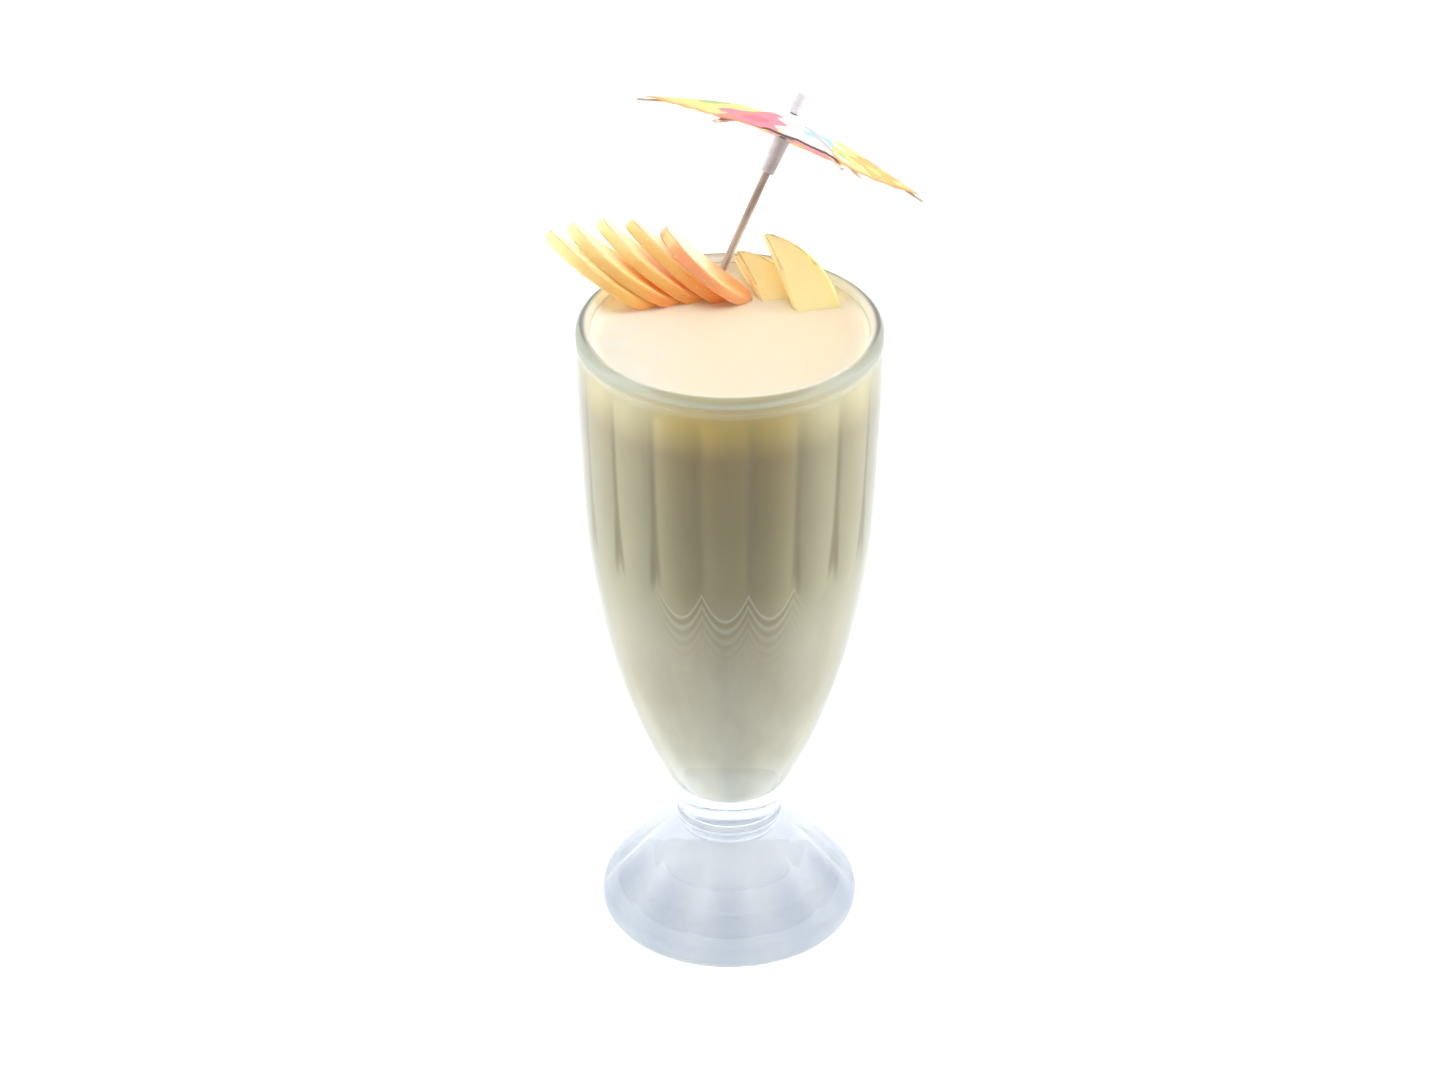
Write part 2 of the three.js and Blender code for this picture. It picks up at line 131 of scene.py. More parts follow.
class Graph:
    """A material's node tree, with one method that makes a node and short names for common ones."""

    def __init__(self, name: str) -> None:
        """Makes an empty material of that name.

        Args:
            name: the material's name.
        """
        self.material = bpy.data.materials.new(name)
        self.material.use_nodes = True
        self.tree = self.material.node_tree
        self.tree.nodes.clear()

    def node(self, kind: str, settings: dict | None = None,
             inputs: dict | None = None) -> bpy.types.Node:
        """Makes a node.

        Args:
            kind: the node's type.
            settings: properties, set first; "stops" holds a colour ramp's places and colours.
            inputs: for a socket's name or number, a value or the Value to link.

        Returns:
            The node.
        """
        made = self.tree.nodes.new(kind)
        for name, setting in (settings or {}).items():
            if name == "stops":
                self._set_stops(made.color_ramp, setting)
            else:
                setattr(made, name, setting)
        for name, value in (inputs or {}).items():
            socket = made.inputs[name]
            if isinstance(value, Value):
                self.tree.links.new(value.socket, socket)
            else:
                socket.default_value = value
        return made

    @staticmethod
    def _set_stops(ramp: bpy.types.ColorRamp, ramp_stops: Stops) -> None:
        """Gives a colour ramp its stops.

        Args:
            ramp: the ramp, as Blender makes it, with two stops.
            ramp_stops: place and colour of each stop, in order.
        """
        for _ in ramp_stops[2:]:
            ramp.elements.new(0.5)
        for element, (place, colour) in zip(ramp.elements, ramp_stops):
            element.position = place
            element.color = colour

    def out(self, made: bpy.types.Node, socket: str | int = 0) -> Value:
        """The value of one of a node's outputs."""
        return Value(self, made.outputs[socket])

    def math(self, operation: str, first: "Value | float", second: "Value | float" = 0.0,
             clamp: bool = False) -> Value:
        """A Math node on two numbers."""
        settings = {"operation": operation, "use_clamp": clamp}
        return self.out(self.node("ShaderNodeMath", settings, {0: first, 1: second}))

    def mix(self, factor: "Value | float", first: "Value | Colour", second: "Value | Colour",
            blend: str = "MIX") -> Value:
        """A mix of two colours."""
        settings = {"data_type": "RGBA", "blend_type": blend, "clamp_factor": True}
        return self.out(self.node("ShaderNodeMix", settings, {0: factor, 6: first, 7: second}), 2)

    def between(self, value: Value, low: float, high: float) -> Value:
        """Eases from 0 where a value is low to 1 where it is high."""
        settings = {"interpolation_type": "SMOOTHSTEP"}
        return self.out(self.node("ShaderNodeMapRange", settings, {0: value, 1: low, 2: high}))

    def band(self, value: Value, rise: Span, fall: Span) -> Value:
        """Eases from 0 to 1 over one span of a value, and back to 0 over a higher one."""
        return self.between(value, *rise) * (1 - self.between(value, *fall))

    def length(self, first: Value, second: Value) -> Value:
        """Length of the hypotenuse over two sides."""
        return self.math("SQRT", first * first + second * second)

    def turn(self, across: Value, back: Value) -> Value:
        """Turn round +Z, in radians from the front towards +X."""
        return self.math("ARCTAN2", across, 0.0 - back)

    def ramp(self, value: Value, ramp_stops: Stops) -> Value:
        """The colour of a ramp at a value."""
        return self.out(self.node("ShaderNodeValToRGB", {"stops": ramp_stops}, {0: value}))

    def place(self) -> Value:
        """Object coordinates, in metres."""
        return self.out(self.node("ShaderNodeTexCoord"), "Object")

    def uv(self) -> Value:
        """The piece's own UV map."""
        return self.out(self.node("ShaderNodeTexCoord"), "UV")

    def axes(self, vector: Value) -> tuple[Value, Value, Value]:
        """The three numbers of a vector."""
        split = self.node("ShaderNodeSeparateXYZ", inputs={0: vector})
        return self.out(split, 0), self.out(split, 1), self.out(split, 2)

    def stretched(self, vector: Value, scale: tuple[float, float, float]) -> Value:
        """A vector scaled along each axis, for a pattern that runs one way."""
        return self.out(self.node("ShaderNodeMapping", inputs={"Vector": vector, "Scale": scale}))

    def noise(self, vector: Value, scale: float, detail: float = 3.0, roughness: float = 0.5) -> Value:
        """Cloudy noise, about 0 to 1."""
        inputs = {"Vector": vector, "Scale": scale, "Detail": detail, "Roughness": roughness}
        return self.out(self.node("ShaderNodeTexNoise", inputs=inputs))

    def bump(self, height: Value, depth: float, strength: float = 1.0) -> Value:
        """A surface normal that is pushed in and out by a height, over a depth in metres."""
        inputs = {"Height": height, "Distance": depth, "Strength": strength}
        return self.out(self.node("ShaderNodeBump", inputs=inputs))

    def surface(self, inputs: dict) -> Value:
        """A Principled shader with the given sockets."""
        return self.out(self.node("ShaderNodeBsdfPrincipled", inputs=inputs))

    def mix_shaders(self, factor: Value, first: Value, second: Value) -> Value:
        """A mix of two shaders."""
        return self.out(self.node("ShaderNodeMixShader", inputs={0: factor, 1: first, 2: second}))

    def finish(self, shader: Value) -> bpy.types.Material:
        """Sends a shader to the material's output and returns the material."""
        self.node("ShaderNodeOutputMaterial", inputs={"Surface": shader})
        return self.material


@dataclass(frozen=True)
class Softness:
    """How far light goes into a material: its share, and its reach in red, green and blue, in mm."""

    weight: float
    reach: tuple[float, float, float]

    def inputs(self) -> dict:
        """The Principled shader's sockets for it."""
        return {
            "Subsurface Weight": self.weight,
            "Subsurface Radius": tuple(length * MM for length in self.reach),
            "Subsurface Scale": 1.0,
        }


@dataclass(frozen=True)
class GlassFinish:
    """Clear pressed glass, a little milky in its blue-grey foot and its grey-green rim. The milk
    carries painted reflections of the juice in the rim's front, painted light on the rim's inside and
    painted shade in the foot, and the foot's upper part has a painted glow.

    The spans are heights, but for forward, which is a place from front to back, and inner, which is a
    distance from the axis. All are in metres.
    """

    # The foot's tint is near white in the creases; the greyer blue in the petals' middles is painted
    # shade.
    foot_crease: Colour = srgb(244, 248, 255)
    foot_petal_shade: Colour = srgb(218, 227, 244)
    rim: Colour = srgb(240, 246, 243)
    passed: Colour = srgb(250, 252, 252)
    rim_milk: Colour = srgb(157, 165, 160)
    # Painted reflections of the juice in the rim's front, olive and yellow-olive lower down; painted
    # light, pale, on the rim's inside.
    rim_painted_juice_front: Colour = srgb(182, 178, 146)
    rim_painted_juice_low: Colour = srgb(206, 180, 104)
    rim_painted_light_inner: Colour = srgb(250, 249, 240)
    foot_milk: Colour = srgb(240, 245, 255)
    # Painted shade in the foot's milk: darker low down, in the petals' middles and at the edge.
    foot_milk_shade_low: Colour = srgb(176, 188, 210)
    foot_milk_shade_petal: Colour = srgb(150, 160, 182)
    foot_milk_shade_edge: Colour = srgb(176, 188, 194)
    # Painted light: a faint glow in the foot's upper part, where the juice shades it.
    foot_painted_glow: Colour = (0.24, 0.25, 0.27, 1.0)
    bowl: Span = (34 * MM, 150 * MM)
    rim_span: Span = (174 * MM, 178 * MM)
    lip: Span = (176.4 * MM, 178.2 * MM)
    forward: Span = (-22 * MM, -36 * MM)
    inner: Span = (38.2 * MM, 36.8 * MM)
    bell: Span = (5 * MM, 26 * MM)
    edge: Span = (2 * MM, 6 * MM)
    stem: Span = (25 * MM, 33 * MM)
    cup: Span = (44 * MM, 62 * MM)
    facet_fade: Span = (14 * MM, 24 * MM)
    petal_rise: Span = (4 * MM, 12 * MM)
    petal_fall: Span = (16 * MM, 24 * MM)
    glow_rise: Span = (12 * MM, 24 * MM)
    glow_fall: Span = (26 * MM, 36 * MM)
    petals: int = 10
    petal_depth: float = 0.8
    rim_share: float = 0.55
    foot_share: float = 0.24
    stem_loss: float = 0.7
    ior: float = 1.5
    roughness: float = 0.01
    milk_roughness: float = 0.8
    wave_depth: float = 0.08 * MM

    def material(self) -> bpy.types.Material:
        """Glass that bends the light, and lets lamps through to what it holds.

        Returns:
            The material.
        """
        graph = Graph("pressed_glass")
        place = graph.place()
        across, back, height = graph.axes(place)
        petal = 0.5 + 0.5 * graph.math("COSINE", graph.turn(across, back) * self.petals)
        facet = petal * (1 - 0.5 * graph.between(height, *self.facet_fade))
        # Painted shade: the foot's tint is greyer blue in the petals' middles, less so higher up.
        foot = graph.mix(facet, self.foot_crease, self.foot_petal_shade)
        waves = graph.noise(graph.stretched(place, (1, 1, 0.35)), scale=110, detail=1.0)
        glass = graph.surface({
            "Base Color": graph.mix(graph.between(height, *self.bowl), foot, self.rim),
            "Roughness": self.roughness,
            "IOR": self.ior,
            "Transmission Weight": 1.0,
            "Normal": graph.bump(waves, self.wave_depth),
        })
        in_rim = graph.between(height, *self.rim_span)
        milk = graph.surface({
            "Base Color": graph.mix(in_rim, self.milk_of_foot(graph, height, petal),
                                    self.milk_of_rim(graph, across, back, height)),
            "Roughness": self.milk_roughness,
            # Painted light: the foot's upper part glows faintly, where the juice shades it from the
            # lamp above.
            "Emission Color": graph.mix(graph.band(height, self.glow_rise, self.glow_fall), BLACK,
                                        self.foot_painted_glow),
            "Emission Strength": 1.0,
        })
        stem, cup = graph.between(height, *self.stem), graph.between(height, *self.cup)
        in_foot = 1 - self.stem_loss * stem - (1 - self.stem_loss) * cup
        glass = graph.mix_shaders(self.rim_share * in_rim + self.foot_share * in_foot, glass, milk)
        clear = graph.out(graph.node("ShaderNodeBsdfTransparent", inputs={"Color": self.passed}))
        rays = graph.node("ShaderNodeLightPath")
        let_through = graph.math("MAXIMUM", graph.out(rays, "Is Shadow Ray"),
                                 graph.out(rays, "Is Diffuse Ray"))
        return graph.finish(graph.mix_shaders(let_through, glass, clear))

    def milk_of_foot(self, graph: Graph, height: Value, petal: Value) -> Value:
        """Colour of the foot's milk, with painted shade: darker low down, in the petals' middles and at
        the edge.

        Args:
            graph: the material.
            height: the height.
            petal: 1 in a petal's middle and 0 in a crease.

        Returns:
            The colour.
        """
        milk = graph.mix(graph.between(height, *self.bell), self.foot_milk_shade_low, self.foot_milk)
        in_petal = petal * graph.band(height, self.petal_rise, self.petal_fall)
        milk = graph.mix(self.petal_depth * in_petal, milk, self.foot_milk_shade_petal)
        return graph.mix(1 - graph.between(height, *self.edge), milk, self.foot_milk_shade_edge)

    def milk_of_rim(self, graph: Graph, across: Value, back: Value, height: Value) -> Value:
        """Colour of the rim's milk: painted reflections of the juice in front, olive, and yellow-olive
        lower down, and painted light, pale, on the inside.

        Args:
            graph: the material.
            across: the place from left to right.
            back: the place from front to back.
            height: the height.

        Returns:
            The colour.
        """
        # Painted reflection: the juice as it shows through the rim's front, yellow-olive low down and
        # olive higher up.
        front = graph.mix(graph.between(height, *self.lip), self.rim_painted_juice_low, self.rim_painted_juice_front)
        milk = graph.mix(graph.between(back, *self.forward), self.rim_milk, front)
        # Painted light: the rim's inside is pale.
        inner = graph.between(graph.length(across, back), *self.inner)
        return graph.mix(inner, milk, self.rim_painted_light_inner)


@dataclass(frozen=True)
class JuiceFinish:
    """Opaque juice: tan to grey-green down its side, with a pale cream froth on top.

    Spans are in metres, but for those of drifts, mottles and sideways places, which are shares.
    """

    froth: Colour = srgb(242, 232, 206)
    froth_left: Colour = srgb(243, 239, 226)
    froth_right: Colour = srgb(245, 230, 200)
    froth_rim: Colour = srgb(240, 240, 228)
    froth_mottle: Colour = srgb(244, 228, 196)
    left: Span = (-4 * MM, -34 * MM)
    right: Span = (6 * MM, 34 * MM)
    near_rim: Span = (27 * MM, 35 * MM)
    mottles: Span = (0.35, 0.75)
    bottom_height: float = 39.8 * MM
    top_height: float = 176.5 * MM
    froth_rise: Span = (176.1 * MM, 176.4 * MM)
    froth_fall: Span = (176.9 * MM, 177.2 * MM)
    film_rise: Span = (176 * MM, 176.5 * MM)
    film_face: Span = (35.83 * MM, 35.77 * MM)
    # Colour by height, paler towards the bottom. The yellow band just under the froth is partly painted
    # light, for the light that the froth lets down into the juice.
    side: Stops = stops(
        (0.0, 230, 229, 214), (0.14, 204, 199, 177), (0.28, 190, 183, 158), (0.44, 180, 170, 143),
        (0.59, 151, 139, 98), (0.74, 142, 127, 82), (0.885, 150, 125, 72), (0.955, 206, 174, 84),
        (0.985, 214, 184, 96), (1.0, 206, 192, 146))
    drifts: Span = (0.35, 0.7)
    # Crease colour: for the slow drifts of darker colour, and as painted shade along the flutes'
    # creases and in the ripples.
    crease: Colour = srgb(132, 118, 84)
    # Painted highlight: the light lines of the ripples under the flutes' round ends.
    ripple: Colour = srgb(206, 200, 178)
    # Painted light: the flank colour makes the juice paler where it faces left and right, towards the
    # lamps.
    flank_light: Colour = srgb(214, 213, 190)
    # Painted shade: darker at the juice's very left and right edges, more so low down.
    outskirt_shade: Colour = srgb(150, 150, 132)
    paling: Span = (0.02, 0.4)
    pale_rise: Span = (76 * MM, 106 * MM)
    paler_rise: Span = (160 * MM, 172 * MM)
    outer: Span = (0.72, 1.0)
    outer_rise: Span = (60 * MM, 100 * MM)
    flanking: Span = (0.14, 0.34)
    flutes: int = 18
    flute_ridge: float = math.radians(8)
    scallop_low: float = 112 * MM
    scallop_high: float = 120 * MM
    ripple_pitch: float = 3.6 * MM
    ripple_reach: float = 6 * MM
    crease_fade: Span = (176 * MM, 150 * MM)
    crease_end: Span = (1 * MM, -7 * MM)
    crease_swell: Span = (-24 * MM, -5 * MM)
    ripple_start: Span = (-0.6 * MM, 0.4 * MM)
    softness: Softness = Softness(0.15, (4, 3, 1.6))
    ior: float = 1.36
    bubble_depth: float = 0.06 * MM

    def material(self) -> bpy.types.Material:
        """Colour by height, with a fine froth and slow drifts of colour.

        Returns:
            The material.
        """
        graph = Graph("juice")
        place = graph.place()
        across, back, height = graph.axes(place)
        reach = graph.length(across, back)
        share = (height - self.bottom_height) * (1 / (self.top_height - self.bottom_height))
        drift = graph.noise(graph.stretched(place, (1, 1, 0.15)), scale=70, detail=4.0, roughness=0.6)
        side = graph.mix(0.3 * graph.between(drift, *self.drifts), graph.ramp(share, self.side),
                         self.crease)
        top = graph.band(height, self.froth_rise, self.froth_fall)
        film = graph.between(reach, *self.film_face) * graph.between(height, *self.film_rise)
        top = graph.math("MAXIMUM", top, film)
        bubbles = top * (graph.noise(place, scale=1500, roughness=0.7)
                         + 2.0 * graph.noise(place, scale=260, detail=2.0))
        return graph.finish(graph.surface({
            "Base Color": graph.mix(top, self.painted_shading(graph, place, side),
                                    self.froth_colour(graph, place, reach)),
            "Roughness": 0.3 + 0.25 * top,
            "IOR": self.ior,
            **self.softness.inputs(),
            "Normal": graph.bump(bubbles, self.bubble_depth, 0.6),
        }))

    def froth_colour(self, graph: Graph, place: Value, reach: Value) -> Value:
        """Cream, paler at the left and at the rim, yellower at the right, and faintly mottled.

        Args:
            graph: the material.
            place: object coordinates.
            reach: distance from the axis.

        Returns:
            The colour.
        """
        across, _, _ = graph.axes(place)
        froth = graph.mix(graph.between(across, *self.left), self.froth, self.froth_left)
        froth = graph.mix(graph.between(across, *self.right), froth, self.froth_right)
        froth = graph.mix(0.5 * graph.between(reach, *self.near_rim), froth, self.froth_rim)
        mottle = graph.between(graph.noise(place, scale=160, detail=5.0, roughness=0.6), *self.mottles)
        return graph.mix(0.3 * mottle, froth, self.froth_mottle)

    def painted_shading(self, graph: Graph, place: Value, side: Value) -> Value:
        """Paints light and shade on the side: paler flanks, painted shade at the very left and right
        edges and along the creases between the flutes, and painted highlights and shade in ripples
        under the flutes' round ends.

        Args:
            graph: the material.
            place: object coordinates.
            side: the colour of the juice's side.

        Returns:
            The colour with its painted light and shade.
        """
        across, back, height = graph.axes(place)
        sideways = graph.math("DIVIDE", across * across, across * across + back * back + 1e-6)
        # Painted light: paler where the side faces left and right, more so higher up.
        pale = graph.between(sideways, *self.paling) * graph.between(height, *self.pale_rise)
        paler = 0.28 + 0.22 * graph.between(height, *self.paler_rise)
        side = graph.mix(paler * pale, side, self.flank_light)
        # Painted shade: darker at the very left and right edges, more so low down.
        darker = 0.85 - 0.25 * graph.between(height, *self.outer_rise)
        side = graph.mix(darker * graph.between(sideways, *self.outer), side, self.outskirt_shade)
        # Painted shade along the ridges between the flutes, ending in points under their round ends,
        # longer at the left and right and fading towards the top.
        flanking = graph.between(sideways, *self.flanking)
        turn = graph.turn(across, back) - self.flute_ridge
        phase = graph.math("FRACT", turn * (self.flutes / FULL_TURN) + self.flutes)
        from_middle = graph.math("ABSOLUTE", 2.0 * phase - 1.0)
        rise = (self.scallop_high - self.scallop_low) * from_middle * from_middle
        below = (rise + self.scallop_low) - height
        swell = graph.between(below, *self.crease_swell) * flanking
        crease = (graph.between(from_middle + 0.16 * swell, 0.76, 1.0)
                  * graph.between(below, *self.crease_end))
        faded = graph.between(height, *self.crease_fade)
        side = graph.mix((0.5 + 0.4 * flanking) * crease * faded, side, self.crease)
        # Painted highlights and painted shade: light and dark lines that ripple under the flutes' round
        # ends, mostly in front and behind.
        wave = graph.math("COSINE", below * (FULL_TURN / self.ripple_pitch))
        fading = graph.math("POWER", math.e, below * (-1 / self.ripple_reach))
        strength = fading * graph.between(below, *self.ripple_start) * (1 - flanking)
        side = graph.mix(graph.math("MULTIPLY", wave, 0.65 * strength, True), side, self.ripple)
        return graph.mix(graph.math("MULTIPLY", wave, -0.5 * strength, True), side, self.crease)


@dataclass(frozen=True)
class FruitFinish:
    """Peel and flesh of a fruit slice. The UV map runs 0 to 1 from tip to tip and from core to peel."""

    name: str
    peel: Stops
    streak: Colour
    flesh: Stops
    flesh_edge: Colour
    blush: float = 0.0
    # Painted light: peel and flesh glow faintly, standing in for light shining through the fruit.
    glow: float = 0.1
    streaks: Span = (0.52, 0.72)
    specks: Span = (0.68, 0.74)
    under_peel: Span = (0.72, 1.0)
    fibres: Span = (0.45, 0.8)
    vein_rise: Span = (0.84, 0.88)
    vein_fall: Span = (0.88, 0.93)
    peel_softness: Softness = Softness(0.3, (2.4, 1.8, 1.2))
    flesh_softness: Softness = Softness(0.5, (2.6, 2.3, 1.8))

    def peel_material(self) -> bpy.types.Material:
        """Waxy peel, streaked from tip to tip, in a colour that deepens towards the low end.

        Returns:
            The material.
        """
        graph = Graph(f"{self.name}_peel")
        place = graph.place()
        along, _, _ = graph.axes(graph.uv())
        streaks = graph.noise(graph.stretched(graph.uv(), (2.5, 26, 1)), 2.0, 4.0, 0.6)
        patches = graph.noise(place, scale=130)
        ripeness = along + self.blush + 0.5 * (patches - 0.5) + 0.3 * (streaks - 0.5)
        colour = graph.ramp(ripeness, self.peel)
        streaked = graph.between(streaks, *self.streaks)
        colour = graph.mix(0.55 * streaked, colour, self.streak, "MULTIPLY")
        specks = graph.between(graph.noise(place, scale=1300, detail=1.0), *self.specks)
        colour = graph.mix(0.3 * specks, colour, self.flesh[0][1])
        return graph.finish(graph.surface({
            "Base Color": colour,
            "Roughness": 0.28 + 0.15 * patches,
            "Coat Weight": 0.25,
            "Coat Roughness": 0.15,
            **self.peel_softness.inputs(),
            # Painted light: a faint glow for light shining through the peel.
            "Emission Color": colour,
            "Emission Strength": self.glow,
            "Normal": graph.bump(graph.noise(place, scale=420), 0.08 * MM, 0.5),
        }))

    def flesh_material(self) -> bpy.types.Material:
        """Moist flesh with fine fibres, yellower just under the peel.

        Returns:
            The material.
        """
        graph = Graph(f"{self.name}_flesh")
        place = graph.place()
        along, outward, _ = graph.axes(graph.uv())
        fibres = graph.noise(graph.stretched(graph.uv(), (34, 5, 1)), 2.0, 4.0, 0.6)
        cloud = graph.noise(place, scale=170)
        edge = graph.between(outward + 0.12 * (cloud - 0.5), *self.under_peel)
        colour = graph.mix(edge, graph.ramp(along + self.blush, self.flesh), self.flesh_edge)
        colour = graph.mix(0.4 * graph.between(fibres, *self.fibres), colour, self.flesh_edge)
        vein = graph.band(outward, self.vein_rise, self.vein_fall)
        colour = graph.mix(0.35 * vein, colour, self.peel[0][1])
        grain = graph.noise(place, scale=900, detail=4.0, roughness=0.65)
        return graph.finish(graph.surface({
            "Base Color": colour,
            "Roughness": 0.3 + 0.2 * cloud,
            "Coat Weight": 0.2,
            "Coat Roughness": 0.2,
            **self.flesh_softness.inputs(),
            # Painted light: a faint glow for light shining through the flesh.
            "Emission Color": colour,
            "Emission Strength": self.glow,
            "Normal": graph.bump(grain + fibres, 0.1 * MM, 0.5),
        }))


@dataclass(frozen=True)
class Bloom:
    """A printed flower: its place in panels round and share outwards, its size and its colours."""

    panel: float
    outward: float
    size: float
    colour: Colour
    heart: Colour
    petals: int = 5


@dataclass(frozen=True)
class CanopyFinish:
    """Thin paper printed with plain flowers. The UV map counts panels round and runs 0 to 1 out."""

    panels: int = 6
    ground: Colour = srgb(255, 240, 138)
    ground_edge: Colour = srgb(252, 208, 132)
    centre: Colour = srgb(252, 248, 250)
    outline: Colour = srgb(238, 150, 96)
    # Painted shade: a dark line along part of the rim, for the shaded underside seen at the paper's
    # edge.
    painted_rim_shade: Colour = srgb(96, 78, 84)
    fibre: Colour = srgb(214, 196, 176)
    ground_fade: Span = (0.7, 1.0)
    centre_edge: Span = (0.36, 0.42)
    rib_line: Span = (0.455, 0.47)
    rim_line: Span = (0.95, 0.965)
    line_fade: Span = (0.3, 0.45)
    painted_shade_rise: Span = (4.3, 4.35)
    painted_shade_fall: Span = (4.95, 5.0)
    painted_shade_edge: Span = (0.94, 0.95)
    lobe: float = 0.2
    heart: float = 0.25
    outline_width: float = 0.02
    softness: Softness = Softness(0.3, (1.2, 1, 0.8))
    blooms: tuple[Bloom, ...] = (
        Bloom(0.2, 0.62, 0.24, srgb(250, 170, 104), srgb(255, 226, 150)),
        Bloom(1.3, 0.72, 0.42, srgb(250, 150, 158), srgb(255, 226, 150)),
        Bloom(2.5, 0.62, 0.26, srgb(166, 205, 240), srgb(255, 250, 240)),
        Bloom(4.16, 0.72, 0.42, srgb(252, 132, 154), srgb(250, 112, 132)),
        Bloom(4.85, 0.66, 0.4, srgb(252, 250, 252), srgb(250, 240, 236)),
        Bloom(4.66, 0.9, 0.24, srgb(250, 248, 250), srgb(250, 240, 236)),
        Bloom(5.3, 0.42, 0.2, srgb(255, 250, 240), srgb(250, 236, 214)),
        Bloom(5.08, 0.56, 0.23, srgb(150, 204, 246), srgb(190, 224, 250)),
        Bloom(5.24, 0.74, 0.16, srgb(188, 204, 122), srgb(150, 180, 104), 3),
        Bloom(5.72, 0.8, 0.24, srgb(250, 176, 104), srgb(255, 226, 130)),
        Bloom(3.1, 0.6, 0.14, srgb(176, 204, 128), srgb(140, 176, 110), 3),
    )

    def material(self) -> bpy.types.Material:
        """Flowers scattered over a yellow ground, round a white middle, with outlined ribs and rim, and
        painted shade along part of the rim.

        Returns:
            The material.
        """
        graph = Graph("printed_paper")
        place = graph.place()
        panel, outward, _ = graph.axes(graph.uv())
        wobble = 0.07 * (graph.noise(place, scale=240) - 0.5)
        turn = panel * (FULL_TURN / self.panels)
        flat = outward * graph.math("COSINE", turn), outward * graph.math("SINE", turn)
        colour = graph.mix(graph.between(outward, *self.ground_fade), self.ground, self.ground_edge)
        middle = 1 - graph.between(outward + wobble, *self.centre_edge)
        colour = graph.mix(middle, colour, self.centre)
        for bloom in self.blooms:
            colour = self.printed(graph, bloom, flat, wobble, colour)
        side = graph.math("ABSOLUTE", graph.math("FRACT", panel) - 0.5)
        lines = graph.math("MAXIMUM", graph.between(side, *self.rib_line),
                           graph.between(outward, *self.rim_line))
        lines = 0.75 * lines * graph.between(outward, *self.line_fade)
        colour = graph.mix(lines, colour, self.outline)
        # Painted shade: a dark line along the rim between panels 4.3 and 5.
        painted_rim_shade = graph.band(panel, self.painted_shade_rise, self.painted_shade_fall)
        colour = graph.mix(painted_rim_shade * graph.between(outward, *self.painted_shade_edge), colour, self.painted_rim_shade)
        fibre = graph.noise(place, scale=900, detail=4.0, roughness=0.7)
        return graph.finish(graph.surface({
            "Base Color": graph.mix(0.1 * fibre, colour, self.fibre),
            "Roughness": 0.72,
            **self.softness.inputs(),
            "Normal": graph.bump(fibre, 0.05 * MM, 0.6),
        }))

    def printed(self, graph: Graph, bloom: Bloom, flat: tuple[Value, Value], wobble: Value,
                colour: Value) -> Value:
        """Prints one flower, with its outline and its heart.

        Args:
            graph: the material.
            bloom: the flower.
            flat: the place on the canopy laid flat.
            wobble: how far the print's edges are shifted.
            colour: the colour under it.

        Returns:
            The colour with the flower.
        """
        angle = bloom.panel * FULL_TURN / self.panels
        aside = flat[0] - bloom.outward * math.cos(angle)
        ahead = flat[1] - bloom.outward * math.sin(angle)
        reach = graph.length(aside, ahead) + wobble
        lobes = graph.math("COSINE", graph.math("ARCTAN2", ahead, aside) * bloom.petals)
        edge = bloom.size * (1 - self.lobe + self.lobe * lobes)
        within = graph.math("LESS_THAN", reach, edge)
        rim = within - graph.math("LESS_THAN", reach, edge - self.outline_width)
        colour = graph.mix(0.6 * rim, graph.mix(within, colour, bloom.colour), self.outline)
        in_heart = graph.math("LESS_THAN", reach, bloom.size * self.heart)
        return graph.mix(in_heart, colour, bloom.heart)


@dataclass(frozen=True)
class PlainPaperFinish:
    """Rolled paper, ringed by the edges of its turns."""

    name: str
    light: Colour
    dark: Colour
    shades: Span = (0.35, 0.7)

    def material(self) -> bpy.types.Material:
        """Fibrous paper with faint rings.

        Returns:
            The material.
        """
        graph = Graph(self.name)
        place = graph.place()
        fibre = graph.noise(graph.stretched(place, (1, 1, 3)), scale=700, detail=4.0, roughness=0.65)
        shade = graph.between(0.5 * fibre + 0.5 * graph.noise(place, scale=220), *self.shades)
        return graph.finish(graph.surface({
            "Base Color": graph.mix(shade, self.light, self.dark),
            "Roughness": 0.8,
            "Normal": graph.bump(fibre, 0.08 * MM, 0.6),
        }))


@dataclass(frozen=True)
class WoodFinish:
    """Thin split wood, with its grain along one direction."""

    name: str
    light: Colour
    dark: Colour
    along: Vector
    shades: Span = (0.35, 0.68)

    def material(self) -> bpy.types.Material:
        """Straight grain with darker pores.

        Returns:
            The material.
        """
        graph = Graph(self.name)
        turned = self.along.normalized().to_track_quat("Z", "Y").inverted().to_euler()
        inputs = {"Vector": graph.place(), "Rotation": turned}
        lined = graph.out(graph.node("ShaderNodeMapping", {"vector_type": "POINT"}, inputs))
        grain = graph.noise(graph.stretched(lined, (1, 1, 0.05)), 2600, detail=4.0, roughness=0.6)
        cloud = graph.noise(graph.place(), scale=120, detail=2.0)
        shade = graph.between(0.7 * grain + 0.3 * cloud, *self.shades)
        return graph.finish(graph.surface({
            "Base Color": graph.mix(shade, self.light, self.dark),
            "Roughness": 0.55 + 0.15 * grain,
            "Normal": graph.bump(grain, 0.04 * MM, 0.6),
        }))


